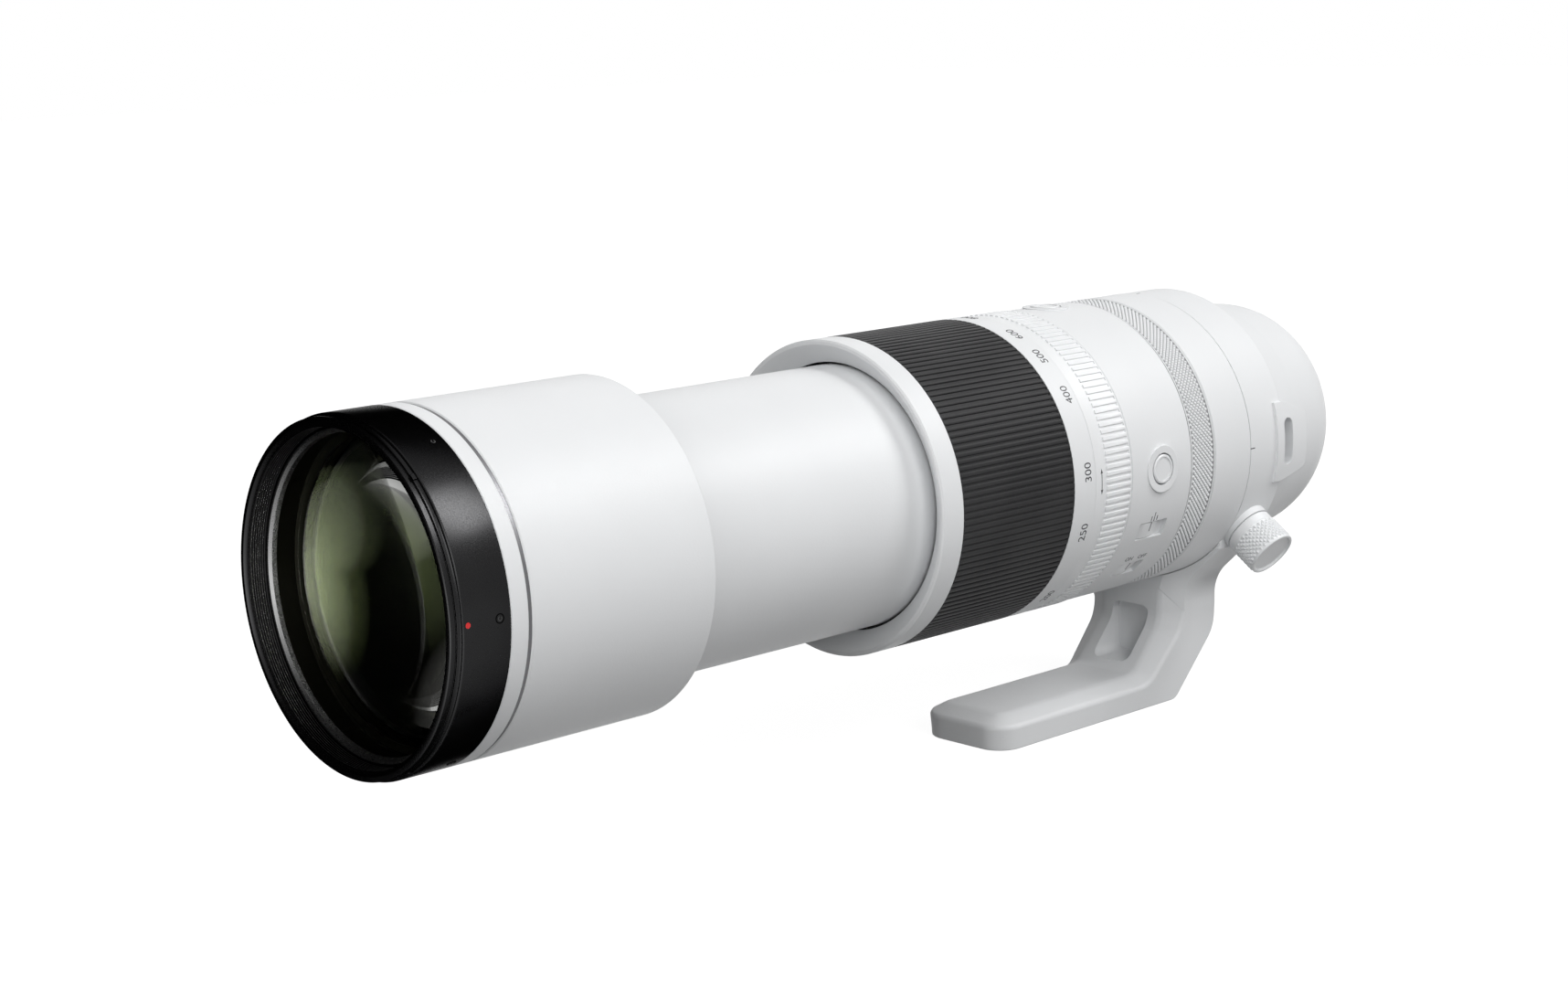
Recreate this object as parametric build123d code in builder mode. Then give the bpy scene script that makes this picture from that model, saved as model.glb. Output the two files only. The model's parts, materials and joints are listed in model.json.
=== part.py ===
from build123d import *
import math
import os

# White super-telephoto zoom lens, fully extended. Millimetres.
# The origin is the centre of the camera flange. The optical axis is Y, the front glass looks to -Y,
# the foot hangs to -Z and the switches are on the +X side. An angle round the axis starts at +X and
# grows towards +Z.

# Overrun for cuts that pass right through, and the hair gap between pieces that are pushed together
overrun = 1.0
seat_gap = 0.05
turning_gap = 0.3

# Lengths along the axis, from the flange forwards
collar_rear_distance = 46.75
collar_width = 19.15
rear_barrel_length = 20.0
control_ring_width = 12.5
main_barrel_length = 31.2
tension_ring_width = 18.4
scale_band_width = 10.25
grip_length = 52.05
lip_length = 9.0
ring_seam = 0.4
front_reach = 184.0
front_ring_length = 19.3
name_band_length = 5.9
accent_width = 1.2
front_tube_length = 64.9

# The outside of the barrel, and how far the rings stand proud of it
barrel_radius = 50.6
zoom_ring_proud = 0.37
tension_ring_proud = 0.35
front_proud = 0.55
edge_break = 0.35

# Fixed barrel
ring_depth = 2.4
sleeve_wall = 1.3
sleeve_overlap = 15.5
shoulder_wall = 2.2
collar_depth = 3.6
collar_journal_wall = 2.0

# Rear housing: its outline falls from the collar to the mount in shares of that fall
retaining_lip_proud = 0.6
retaining_lip_width = 1.2
housing_front_inset = 0.6
housing_waist_distance = 28.5
housing_waist_share = 0.742
housing_shoulder_distance = 14.0
housing_shoulder_share = 0.582
housing_arc_distance = 5.2
housing_arc_share = 0.289
housing_rim_distance = 1.0
housing_rim_width = 0.4
housing_wall = 2.4
spigot_length = 10.0
mount_seat_thickness = 2.6
mount_seat_bore_radius = 27.5

# Camera mount
flange_radius = 32.6
flange_thickness = 3.0
throat_radius = 24.9
throat_wall = 1.6
throat_length = 5.6
bayonet_lug_radius = 26.8
bayonet_lug_start = 2.6
bayonet_lug_width = 1.7
bayonet_lug_angle = 48
bayonet_lug_count = 3
mount_screw_circle_radius = 29.7
mount_screw_head_radius = 1.5
mount_screw_head_depth = 0.9
mount_screw_shank_radius = 0.85
mount_screw_length = 4.6
mount_screw_count = 4
seal_outer_radius = 34.75
seal_width = 1.5
seal_height = 2.2
seal_recess = 0.2
contact_block_inner_radius = 19.2
contact_block_outer_radius = 23.1
contact_block_angle = 96
contact_block_height = 4.2
contact_count = 12
contact_radius = 0.75
contact_pitch_angle = 7.2
contact_proud = 0.35
baffle_thickness = 1.6
baffle_window_width = 32.0
baffle_window_height = 22.0

# Guide tube, cam tube and rollers
inner_tube_gap = 0.54
guide_wall = 1.2
guide_front_gap = 2.6
wiper_thickness = 1.2
guide_flange_thickness = 2.5
guide_flange_setback = 2.9
cam_gap = 0.9
cam_wall = 1.4
cam_front_setback = 3.0
cam_rear_gap = 1.0
slot_count = 3
slot_start_angle = 30
roller_radius = 2.4
roller_setback = 8.0
roller_top_gap = 0.1
roller_clearance = 0.3
slot_sides = 14
zoom_travel = 89.7
zoom_throw = 140

# Extending barrel
inner_tube_wall = 1.96
inner_tube_tail = 48.6
inner_tube_nose = 17.5
front_tube_wall = 2.25
front_step_thickness = 2.6

# Zoom ring
zoom_skirt_gap = 0.4
zoom_skirt_step = 1.2
grip_seat_wall = 0.8
lip_throat_gap = 0.84
lip_throat_depth = 4.9
lip_edge_inset = 1.07
lip_edge_setback = 0.5
throat_land = 0.9
grip_rib_count = 150
grip_groove_width = 0.62
grip_groove_depth = 0.55
grip_edge_band = 0.9
drive_key_length = 16.0
drive_key_width = 8.0
drive_key_setback = 6.0
drive_key_count = 2

# Tension ring and control ring
tension_plain_width = 5.5
tension_rib_width = 11.9
tension_rib_count = 138
tension_groove_width = 0.55
tension_groove_depth = 0.45

# Front ring, retaining ring and glass
hood_recess_length = 3.6
hood_recess_depth = 0.78
hood_groove_offset = 1.3
hood_groove_width = 1.1
hood_groove_depth = 0.5
filter_wall = 3.65
filter_thread_length = 5.6
front_lead_in = 0.9
retainer_thickness = 2.4
retainer_seat_step = 0.8
retainer_width = 1.4
retainer_bevel = 0.8
cell_rib = 0.8
cell_lip = 2.4
front_cell_wall = 2.5
front_glass_edge_depth = 15.6
front_glass_edge_thickness = 6.0
front_glass_front_sag = 6.4
front_glass_rear_sag = -2.4
glass_seat_gap = 0.2
second_glass_step = 2.2
second_glass_gap = 3.2
second_glass_edge_thickness = 9.0
second_glass_front_sag = 4.2
second_glass_rear_sag = -3.0
accent_depth = 0.45

# Buttons and switches
button_distance = 114.0
button_radius = 4.9
button_gap = 0.5
button_thickness = 2.2
button_proud = 0.3
button_travel = 0.8
button_dish_depth = 0.25
button_dish_radius = 3.9
button_pad_radius = 7.85
button_pad_proud = 0.25
button_well_floor = 0.55
tact_switch_size = 3.6
switch_recess_depth = 1.5
switch_recess_width = 6.5
switch_floor_gap = 0.15
switch_side_gap = 0.25
slider_ridge_height = 0.7
slider_ridge_length = 3.4
slider_ridge_bevel = 0.4
mode_switch_angle = -24.55
mode_recess_front_distance = 121.5
mode_recess_length = 14.0
mode_slider_length = 9.6
stabilizer_switch_angle = -44.75
stabilizer_recess_front_distance = 121.5
stabilizer_recess_length = 12.5
stabilizer_slider_length = 9.6

# Tripod collar, neck and foot
collar_inset = 0.15
collar_bore_gap = 0.15
collar_side_gap = 0.2
foot_reach = 43.55
foot_half_width = 18.7
neck_half_width = 21.0
neck_straight_reach = 11.55
foot_thickness = 11.8
foot_front_distance = 160.0
foot_rear_distance = 67.5
foot_corner_radius = 9.0
neck_front_distance = 69.8
neck_bend_reach = 15.55
neck_toe_distance = 84.5
neck_heel_reach = 20.55
neck_heel_distance = 47.6
neck_root_depth = 10.45
neck_bend_radius = 10.0
neck_heel_radius = 12.0
toe_radius = 5.0
heel_radius = 5.0
casting_bevel_drop = 4.4
casting_bevel_width = 8.1
bevel_outer_radius = 2.0
bevel_inner_radius = 5.0
foot_edge_radius = 0.5
seam_angle = 1
flare_reach = 1.35
flare_radius = 15.0
flare_tip_drop = 0.5
flare_tip_inset = 0.8
web_half_width = 8.0
web_back_distance = 66.5
web_top_reach = 10.55
web_floor_reach = 29.05
web_corner_radius = 3.0
socket_front_distance = 124.0
socket_spacing = 36.5
socket_outer_radius = 6.6
socket_depth = 8.6
large_thread_radius = 3.97
small_thread_radius = 2.55
boss_radius = 9.0
boss_height = 1.7
knob_angle = -36
knob_setback = 9.4
knob_radius = 9.1
knob_length = 13.0
knob_dish_depth = 0.9
knob_rim = 0.9
knob_bevel = 0.5
clamp_screw_radius = 3.0
clamp_screw_gap = 0.08
clamp_screw_engagement = 8.0
lug_rear_distance = 34.6
lug_clearance = 0.9
lug_thickness = 3.5
lug_base_half_width = 14.0
lug_waist_half_width = 13.0
lug_tip_half_width = 9.6
lug_corner_radius = 2.0
lug_slot_front_distance = 47.6
lug_slot_width = 4.7
lug_slot_length = 16.4

# Inside the fixed barrel
rod_radius = 2.0
rod_circle_inset = 6.6
rod_length = 84.0
rod_gap = 0.06
rod_angles = (25, 205)
rear_frame_thickness = 3.0
rear_frame_overhang = 6.0
front_frame_thickness = 3.0
front_frame_gap = 1.0
board_thickness = 1.6
board_width = 18.0
group_rod_inset = 3.0
group_wall = 2.0
group_rod_boss_radius = 4.0
variator_length = 16.0
variator_start = 12.0
focus_length = 11.0
focus_start = 58.0
glass_thickness = 6.0
glass_sag = 2.2
glass_cell_lip = 1.0
rear_cell_wall = 3.95
rear_cell_length = 12.0
rear_frame_setback = 1.6
motor_gap = 1.5
motor_angle = 115
motor_width = 6.0
motor_depth = 12.0
motor_length = 22.0

# Radii outside in: rings and journals, then the cam tube, the guide tube and the extending tube
zoom_radius = barrel_radius + zoom_ring_proud
tension_radius = barrel_radius + tension_ring_proud
front_radius = barrel_radius + front_proud
journal_radius = barrel_radius - ring_depth
ring_bore_radius = journal_radius + turning_gap
barrel_bore_radius = journal_radius - sleeve_wall
collar_journal_radius = barrel_radius - collar_depth
cam_outer_radius = barrel_bore_radius - cam_gap
cam_inner_radius = cam_outer_radius - cam_wall
guide_outer_radius = cam_inner_radius - turning_gap
guide_inner_radius = guide_outer_radius - guide_wall
inner_tube_radius = guide_inner_radius - inner_tube_gap

# Radii of the zoom ring and of the front end
zoom_skirt_radius = journal_radius + zoom_skirt_gap
zoom_bore_radius = zoom_skirt_radius - zoom_skirt_step
grip_seat_radius = zoom_skirt_radius + grip_seat_wall
lip_throat_radius = inner_tube_radius + lip_throat_gap
lip_edge_radius = zoom_radius - lip_edge_inset
hood_recess_radius = front_radius - hood_recess_depth
filter_thread_radius = front_radius - filter_wall
retainer_seat_radius = filter_thread_radius - retainer_seat_step
retainer_inner_radius = retainer_seat_radius - retainer_width
front_glass_radius = front_radius - front_tube_wall - front_cell_wall
second_glass_radius = front_glass_radius - second_glass_step

# Radii of the collar and the rear housing, and heights of the foot below the axis
collar_radius = barrel_radius - collar_inset
lug_inner_radius = collar_journal_radius + lug_clearance
lug_outer_radius = lug_inner_radius + lug_thickness
retaining_lip_radius = collar_journal_radius + retaining_lip_proud
housing_front_radius = collar_journal_radius - housing_front_inset
housing_rim_radius = seal_outer_radius + housing_rim_width
housing_fall = housing_front_radius - housing_rim_radius
housing_waist_radius = housing_rim_radius + housing_waist_share * housing_fall
housing_shoulder_radius = housing_rim_radius + housing_shoulder_share * housing_fall
housing_arc_radius = housing_rim_radius + housing_arc_share * housing_fall
foot_plane_drop = collar_radius + foot_reach
neck_bend_drop = collar_radius + neck_bend_reach
neck_heel_drop = collar_radius + neck_heel_reach
neck_top_drop = collar_radius - neck_root_depth
neck_straight_drop = collar_radius + neck_straight_reach
flare_drop = collar_radius + flare_reach
web_top_drop = collar_radius + web_top_reach
web_floor_drop = collar_radius + web_floor_reach

# Radii inside the extending tube
front_frame_radius = inner_tube_radius - inner_tube_wall - front_frame_gap
rod_circle_radius = front_frame_radius - rod_circle_inset
group_radius = rod_circle_radius - group_rod_inset
rear_frame_bore_radius = group_radius - rear_frame_overhang
rear_glass_radius = rear_frame_bore_radius - rear_cell_wall - seat_gap
motor_circle_radius = group_radius + motor_gap + motor_width / 2
board_inner_radius = collar_journal_radius - collar_journal_wall - board_width

# Stations along the axis
collar_rear = -collar_rear_distance
collar_front = collar_rear - collar_width
control_rear = collar_front - rear_barrel_length
control_front = control_rear - control_ring_width
main_rear = control_front
main_front = main_rear - main_barrel_length
tension_rear = main_front
tension_front = tension_rear - tension_ring_width
zoom_rear = tension_front - ring_seam
grip_rear = zoom_rear - scale_band_width
grip_front = grip_rear - grip_length
lip_front = grip_front - lip_length
front = lip_front - front_reach
front_ring_rear = front + front_ring_length
name_band_rear = front_ring_rear + name_band_length
accent_rear = name_band_rear + accent_width
front_tube_rear = accent_rear + front_tube_length
lip_throat = lip_front + lip_throat_depth + lip_edge_setback
guide_front = lip_throat + guide_front_gap
shoulder_y = collar_front - shoulder_wall
guide_rear = shoulder_y - guide_flange_setback
cam_front = guide_front + cam_front_setback
cam_rear = guide_rear - guide_flange_thickness - cam_rear_gap
inner_tube_rear = lip_front + lip_length + inner_tube_tail
roller_y = inner_tube_rear - roller_setback
roller_stroke_end = roller_y + zoom_travel


def ring(front_y, rear_y, inner, outer, mode=Mode.ADD):
    """A plain ring round the optical axis."""
    with BuildSketch(Plane.YZ) as section:
        with Locations(((front_y + rear_y) / 2, (inner + outer) / 2)):
            Rectangle(abs(rear_y - front_y), outer - inner)
    revolve(section.sketch, axis=Axis.Y, mode=mode)


def turned(points, mode=Mode.ADD):
    """A body turned round the optical axis from (y, radius) points."""
    with BuildSketch(Plane.YZ) as section:
        with BuildLine():
            Polyline(*points, close=True)
        make_face()
    revolve(section.sketch, axis=Axis.Y, mode=mode)


def sag_at(height, radius, sag):
    """How far a dome of this rim radius and sag falls from its crown at a height above the axis."""
    curve = (radius**2 + sag**2) / (2 * abs(sag))
    return math.copysign(curve - math.sqrt(curve**2 - height**2), sag)


def lens(edge_front, edge_thickness, radius, front_sag, rear_sag):
    """A round glass: a positive sag bulges away from its middle."""
    edge_rear = edge_front + edge_thickness
    crown = edge_front - front_sag
    back = edge_rear + rear_sag
    half = radius / 2
    with BuildSketch(Plane.YZ) as section:
        with BuildLine():
            ThreePointArc((crown, 0), (crown + sag_at(half, radius, front_sag), half), (edge_front, radius))
            Line((edge_front, radius), (edge_rear, radius))
            ThreePointArc((edge_rear, radius), (back - sag_at(half, radius, rear_sag), half), (back, 0))
            Line((back, 0), (crown, 0))
        make_face()
    revolve(section.sketch, axis=Axis.Y)


def radial_plane(angle, y, height):
    """A plane facing outwards: local x runs along the axis to the rear, local y round the barrel."""
    turn = math.radians(angle)
    outwards = (math.cos(turn), 0, math.sin(turn))
    return Plane(
        origin=(height * outwards[0], y, height * outwards[2]),
        x_dir=(0, 1, 0),
        z_dir=outwards,
    )


def outwards_axis(angle):
    """The line from the optical axis outwards at an angle."""
    turn = math.radians(angle)
    return Axis((0, 0, 0), (math.cos(turn), 0, math.sin(turn)))


def station(y):
    """The cross-section plane at y: local x is +X, local y is +Z and it faces the front."""
    return Plane.XZ.offset(-y)


def turn_at(edge, faces):
    """The angle between the two faces that meet at an edge."""
    sides = [face for face in faces if any(edge.is_same(other) for other in face.edges())]
    middle = edge @ (1 / 2)
    return sides[0].normal_at(middle).get_angle(sides[-1].normal_at(middle))


def save(part, label):
    """Label a finished sub-part and write its STEP file."""
    part.label = label
    export_step(part, f"parts/{label}.step")


# Main barrel: front sleeve for the rings, the visible barrel, and the journal of the control ring
button_y = -button_distance
button_angles = (0, 90)
mode_recess_y = -mode_recess_front_distance + mode_recess_length / 2
stabilizer_recess_y = -stabilizer_recess_front_distance + stabilizer_recess_length / 2
switch_floor_radius = barrel_radius - switch_recess_depth
sleeve_front = zoom_rear - sleeve_overlap
button_top = barrel_radius + button_pad_proud + button_proud
well_floor = barrel_bore_radius + button_well_floor
with BuildPart() as main_barrel:
    turned(
        [
            (sleeve_front, barrel_bore_radius),
            (sleeve_front, journal_radius),
            (main_front, journal_radius),
            (main_front, barrel_radius),
            (main_rear, barrel_radius),
            (main_rear, journal_radius),
            (shoulder_y, journal_radius),
            (shoulder_y, barrel_bore_radius),
        ]
    )
    chamfer(main_barrel.edges().filter_by(GeomType.CIRCLE).group_by(SortBy.RADIUS)[-1], edge_break)
    for angle in button_angles:
        with BuildSketch(radial_plane(angle, button_y, journal_radius)):
            Circle(button_pad_radius)
        extrude(amount=barrel_radius + button_pad_proud - journal_radius)
        with BuildSketch(radial_plane(angle, button_y, barrel_radius + button_pad_proud)):
            Circle(button_radius + button_gap)
        extrude(amount=well_floor - barrel_radius - button_pad_proud, mode=Mode.SUBTRACT)
    for angle, y, length in (
        (mode_switch_angle, mode_recess_y, mode_recess_length),
        (stabilizer_switch_angle, stabilizer_recess_y, stabilizer_recess_length),
    ):
        with BuildSketch(radial_plane(angle, y, switch_floor_radius)):
            Rectangle(length, switch_recess_width)
        extrude(amount=switch_recess_depth + overrun, mode=Mode.SUBTRACT)
save(main_barrel.part, "main_barrel")

# Rear barrel: a skin behind the control ring that steps down to the journal of the tripod collar
collar_journal_bore = collar_journal_radius - collar_journal_wall
journal_end = collar_rear + collar_side_gap
with BuildPart() as rear_barrel:
    turned(
        [
            (control_rear + turning_gap, journal_radius + seat_gap),
            (control_rear + turning_gap, barrel_radius),
            (collar_front, barrel_radius),
            (collar_front, collar_journal_radius),
            (journal_end, collar_journal_radius),
            (journal_end, collar_journal_bore),
            (shoulder_y, collar_journal_bore),
            (shoulder_y, journal_radius + seat_gap),
        ]
    )
    chamfer(rear_barrel.edges().filter_by(GeomType.CIRCLE).group_by(SortBy.RADIUS)[-1], edge_break)
save(rear_barrel.part, "rear_barrel")

# Rear housing: a shell that narrows from the collar to the camera mount
housing_front = journal_end
mount_seat = -flange_thickness
with BuildPart() as rear_housing:
    with BuildSketch(Plane.YZ):
        with BuildLine():
            Polyline(
                (housing_front, retaining_lip_radius),
                (housing_front + retaining_lip_width, retaining_lip_radius),
                (housing_front + retaining_lip_width, housing_front_radius),
                (-housing_waist_distance, housing_waist_radius),
            )
            Line(
                (-housing_waist_distance, housing_waist_radius),
                (-housing_shoulder_distance, housing_shoulder_radius),
            )
            ThreePointArc(
                (-housing_shoulder_distance, housing_shoulder_radius),
                (-housing_arc_distance, housing_arc_radius),
                (-housing_rim_distance, housing_rim_radius),
            )
            Polyline(
                (-housing_rim_distance, housing_rim_radius),
                (-housing_rim_distance, seal_outer_radius + seat_gap),
                (mount_seat, seal_outer_radius + seat_gap),
                (mount_seat, mount_seat_bore_radius),
                (mount_seat - mount_seat_thickness, mount_seat_bore_radius),
                (mount_seat - mount_seat_thickness, housing_rim_radius - housing_wall),
                (-housing_shoulder_distance, housing_shoulder_radius - housing_wall),
                (-housing_waist_distance, housing_waist_radius - housing_wall),
                (housing_front, collar_journal_bore - seat_gap - collar_journal_wall),
                (housing_front - spigot_length, collar_journal_bore - seat_gap - collar_journal_wall),
                (housing_front - spigot_length, collar_journal_bore - seat_gap),
                (housing_front, collar_journal_bore - seat_gap),
                (housing_front, retaining_lip_radius),
            )
        make_face()
    revolve(axis=Axis.Y)
    with Locations(Plane.XZ.offset(-mount_seat)):
        with PolarLocations(mount_screw_circle_radius, mount_screw_count, start_angle=45):
            Hole(mount_screw_shank_radius + seat_gap)
save(rear_housing.part, "rear_housing")

# Camera mount: a metal flange with a throat tube and three bayonet lugs
with BuildPart() as bayonet_mount:
    turned(
        [
            (mount_seat, throat_radius - throat_wall),
            (mount_seat, flange_radius),
            (0, flange_radius),
            (0, throat_radius),
            (throat_length, throat_radius),
            (throat_length, throat_radius - throat_wall),
        ]
    )
    chamfer(bayonet_mount.edges().filter_by(GeomType.CIRCLE).group_by(SortBy.RADIUS)[-1], edge_break)
    for index in range(bayonet_lug_count):
        turn = index * 360 / bayonet_lug_count - bayonet_lug_angle / 2
        with BuildSketch(Plane.YZ.rotated((0, -turn, 0))) as lug_section:
            with Locations(
                (
                    bayonet_lug_start + bayonet_lug_width / 2,
                    (throat_radius - seat_gap + bayonet_lug_radius) / 2,
                )
            ):
                Rectangle(bayonet_lug_width, bayonet_lug_radius - throat_radius + seat_gap)
        revolve(lug_section.sketch, axis=Axis.Y, revolution_arc=bayonet_lug_angle)
    with Locations(Plane.XZ):
        with PolarLocations(mount_screw_circle_radius, mount_screw_count, start_angle=45):
            Hole(mount_screw_shank_radius + seat_gap)
    with BuildSketch(Plane.XZ):
        with PolarLocations(mount_screw_circle_radius, mount_screw_count, start_angle=45):
            Circle(mount_screw_head_radius + seat_gap)
    extrude(amount=mount_screw_head_depth + 2 * seat_gap, mode=Mode.SUBTRACT)
save(bayonet_mount.part, "bayonet_mount")

# Screws of the camera mount, sunk a hair below the flange
with BuildPart() as mount_screws:
    with BuildSketch(station(-seat_gap)):
        with PolarLocations(mount_screw_circle_radius, mount_screw_count, start_angle=45):
            Circle(mount_screw_head_radius)
    extrude(amount=mount_screw_head_depth)
    with BuildSketch(station(-seat_gap)):
        with PolarLocations(mount_screw_circle_radius, mount_screw_count, start_angle=45):
            Circle(mount_screw_shank_radius)
    extrude(amount=mount_screw_length)
save(mount_screws.part, "mount_screws")

# Rubber seal round the flange
with BuildPart() as dust_seal:
    ring(
        -seal_recess - seal_height,
        -seal_recess,
        seal_outer_radius - seal_width,
        seal_outer_radius,
    )
save(dust_seal.part, "dust_seal")

# Contact block in the throat, with its row of gold pins
contact_floor = mount_seat
with BuildPart() as contact_block:
    with BuildSketch(Plane.YZ.rotated((0, 90 + contact_block_angle / 2, 0))) as block_section:
        with Locations(
            (
                (contact_floor + contact_block_height) / 2,
                (contact_block_inner_radius + contact_block_outer_radius) / 2,
            )
        ):
            Rectangle(
                contact_block_height - contact_floor,
                contact_block_outer_radius - contact_block_inner_radius,
            )
    revolve(block_section.sketch, axis=Axis.Y, revolution_arc=contact_block_angle)
save(contact_block.part, "contact_block")

contact_row_radius = (contact_block_inner_radius + contact_block_outer_radius) / 2
with BuildPart() as contact_pins:
    for index in range(contact_count):
        angle = math.radians(-90 + (index - (contact_count - 1) / 2) * contact_pitch_angle)
        with BuildSketch(station(contact_block_height + contact_proud)):
            with Locations((contact_row_radius * math.cos(angle), contact_row_radius * math.sin(angle))):
                Circle(contact_radius)
        extrude(amount=contact_proud)
save(contact_pins.part, "contact_pins")

# Rear baffle: a black plate with a rectangular window inside the mount
baffle_rear = mount_seat - mount_seat_thickness
with BuildPart() as rear_baffle:
    ring(baffle_rear - baffle_thickness, baffle_rear, 0, housing_rim_radius - housing_wall - seat_gap)
    with BuildSketch(station(baffle_rear + overrun)):
        RectangleRounded(baffle_window_width, baffle_window_height, baffle_thickness)
    extrude(amount=baffle_thickness + 2 * overrun, mode=Mode.SUBTRACT)
save(rear_baffle.part, "rear_baffle")

# Guide tube: straight slots keep the extending barrel from turning
slot_half_width = roller_radius + roller_clearance
slot_front = roller_y - slot_half_width
slot_rear = roller_stroke_end + slot_half_width
slot_angles = [slot_start_angle + index * 360 / slot_count for index in range(slot_count)]
with BuildPart() as guide_tube:
    ring(guide_front, guide_rear, guide_inner_radius, guide_outer_radius)
    ring(
        guide_rear - guide_flange_thickness,
        guide_rear,
        guide_outer_radius - seat_gap,
        barrel_bore_radius - seat_gap,
    )
    for angle in slot_angles:
        with BuildSketch(radial_plane(angle, (slot_front + slot_rear) / 2, guide_inner_radius - overrun)):
            SlotOverall(slot_rear - slot_front, 2 * slot_half_width)
        extrude(amount=guide_wall + 2 * overrun, mode=Mode.SUBTRACT)
save(guide_tube.part, "guide_tube")

# Rubber wiper between the guide tube and the extending barrel
with BuildPart() as barrel_wiper:
    ring(guide_front - wiper_thickness, guide_front, inner_tube_radius + 3 * seat_gap, guide_outer_radius)
save(barrel_wiper.part, "barrel_wiper")

# Cam tube: turns with the zoom ring, its helical slots drive the rollers along the straight ones
cam_middle_radius = (cam_inner_radius + cam_outer_radius) / 2
step_advance = zoom_travel / slot_sides
step_turn = zoom_throw / slot_sides
step_arc = cam_middle_radius * math.radians(step_turn)
step_length = math.hypot(step_advance, step_arc)
slot_lean = -math.degrees(math.atan2(step_arc, step_advance))
slot_places = [
    radial_plane(
        angle - (step + 1 / 2) * step_turn,
        roller_y + (step + 1 / 2) * step_advance,
        cam_inner_radius - overrun,
    )
    for angle in slot_angles
    for step in range(slot_sides)
]
with BuildPart() as cam_tube:
    ring(cam_front, cam_rear, cam_inner_radius, cam_outer_radius)
    with BuildSketch(*slot_places):
        SlotOverall(step_length + 2 * slot_half_width, 2 * slot_half_width, rotation=slot_lean)
    extrude(amount=cam_wall + 2 * overrun, mode=Mode.SUBTRACT)
save(cam_tube.part, "cam_tube")

# Zoom ring: a white shell with a hollow front lip, a grip and a scale band
with BuildPart() as zoom_ring_shell:
    turned(
        [
            (lip_front, lip_edge_radius + lip_edge_setback),
            (lip_front + lip_edge_setback, zoom_radius),
            (grip_front, zoom_radius),
            (grip_front, grip_seat_radius),
            (grip_rear, grip_seat_radius),
            (grip_rear, zoom_radius),
            (zoom_rear, zoom_radius),
            (zoom_rear, zoom_skirt_radius),
            (sleeve_front - ring_seam, zoom_skirt_radius),
            (sleeve_front - ring_seam, zoom_bore_radius),
            (guide_front, zoom_bore_radius),
            (lip_throat + throat_land / 2, lip_throat_radius),
            (lip_throat - throat_land / 2, lip_throat_radius),
            (lip_front, lip_edge_radius - lip_edge_setback),
        ]
    )
save(zoom_ring_shell.part, "zoom_ring_shell")

# Rubber grip with straight ribs
with BuildPart() as zoom_grip:
    ring(grip_front, grip_rear, grip_seat_radius + seat_gap, zoom_radius - grip_groove_depth)
    with BuildSketch(station(grip_rear - grip_edge_band)) as rib_section:
        Circle(zoom_radius)
        Circle(zoom_radius - grip_groove_depth - seat_gap, mode=Mode.SUBTRACT)
        with PolarLocations(zoom_radius, grip_rib_count):
            Rectangle(4 * grip_groove_depth, grip_groove_width, mode=Mode.SUBTRACT)
    extrude(amount=grip_length - 2 * grip_edge_band)
    ring(grip_front, grip_front + grip_edge_band, grip_seat_radius + seat_gap, zoom_radius)
    ring(grip_rear - grip_edge_band, grip_rear, grip_seat_radius + seat_gap, zoom_radius)
save(zoom_grip.part, "zoom_grip")

# Keys that carry the zoom ring's turn to the cam tube
key_front = cam_front + drive_key_setback
with BuildPart() as drive_keys:
    ring(
        key_front,
        key_front + drive_key_length,
        cam_outer_radius + seat_gap,
        zoom_bore_radius - seat_gap,
    )
    with BuildSketch(station(key_front + drive_key_length / 2)) as key_section:
        with PolarLocations(cam_outer_radius, drive_key_count):
            Rectangle(2 * drive_key_width, drive_key_width)
    extrude(amount=drive_key_length, both=True, mode=Mode.INTERSECT)
save(drive_keys.part, "drive_keys")

# Tension ring with a plain front band and a band of pads
pad_front = tension_front + tension_plain_width
with BuildPart() as tension_ring:
    ring(tension_front, tension_rear - ring_seam, ring_bore_radius, tension_radius)
    chamfer(tension_ring.edges().filter_by(GeomType.CIRCLE).group_by(SortBy.RADIUS)[-1], edge_break)
    with BuildSketch(station(pad_front + tension_rib_width)):
        with PolarLocations(tension_radius, tension_rib_count):
            Rectangle(2 * tension_groove_depth, tension_groove_width)
    extrude(amount=tension_rib_width, mode=Mode.SUBTRACT)
save(tension_ring.part, "tension_ring")

# Control ring
with BuildPart() as control_ring:
    ring(control_front + turning_gap, control_rear, ring_bore_radius, barrel_radius)
    chamfer(control_ring.edges().filter_by(GeomType.CIRCLE).group_by(SortBy.RADIUS)[-1], edge_break)
save(control_ring.part, "control_ring")

# Extending barrel: the inner tube, the wide front tube that it carries, and its trim rings
front_tube_bore = front_radius - front_tube_wall
with BuildPart() as inner_tube:
    ring(
        front_tube_rear - inner_tube_nose,
        inner_tube_rear,
        inner_tube_radius - inner_tube_wall,
        inner_tube_radius,
    )
save(inner_tube.part, "inner_tube")

with BuildPart() as front_barrel:
    turned(
        [
            (accent_rear, front_tube_bore),
            (accent_rear, front_radius),
            (front_tube_rear, front_radius),
            (front_tube_rear, inner_tube_radius + seat_gap),
            (front_tube_rear - front_step_thickness, inner_tube_radius + seat_gap),
            (front_tube_rear - front_step_thickness, front_tube_bore),
        ]
    )
    chamfer(front_barrel.edges().filter_by(GeomType.CIRCLE).group_by(SortBy.RADIUS)[-1], edge_break)
save(front_barrel.part, "front_barrel")

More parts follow.
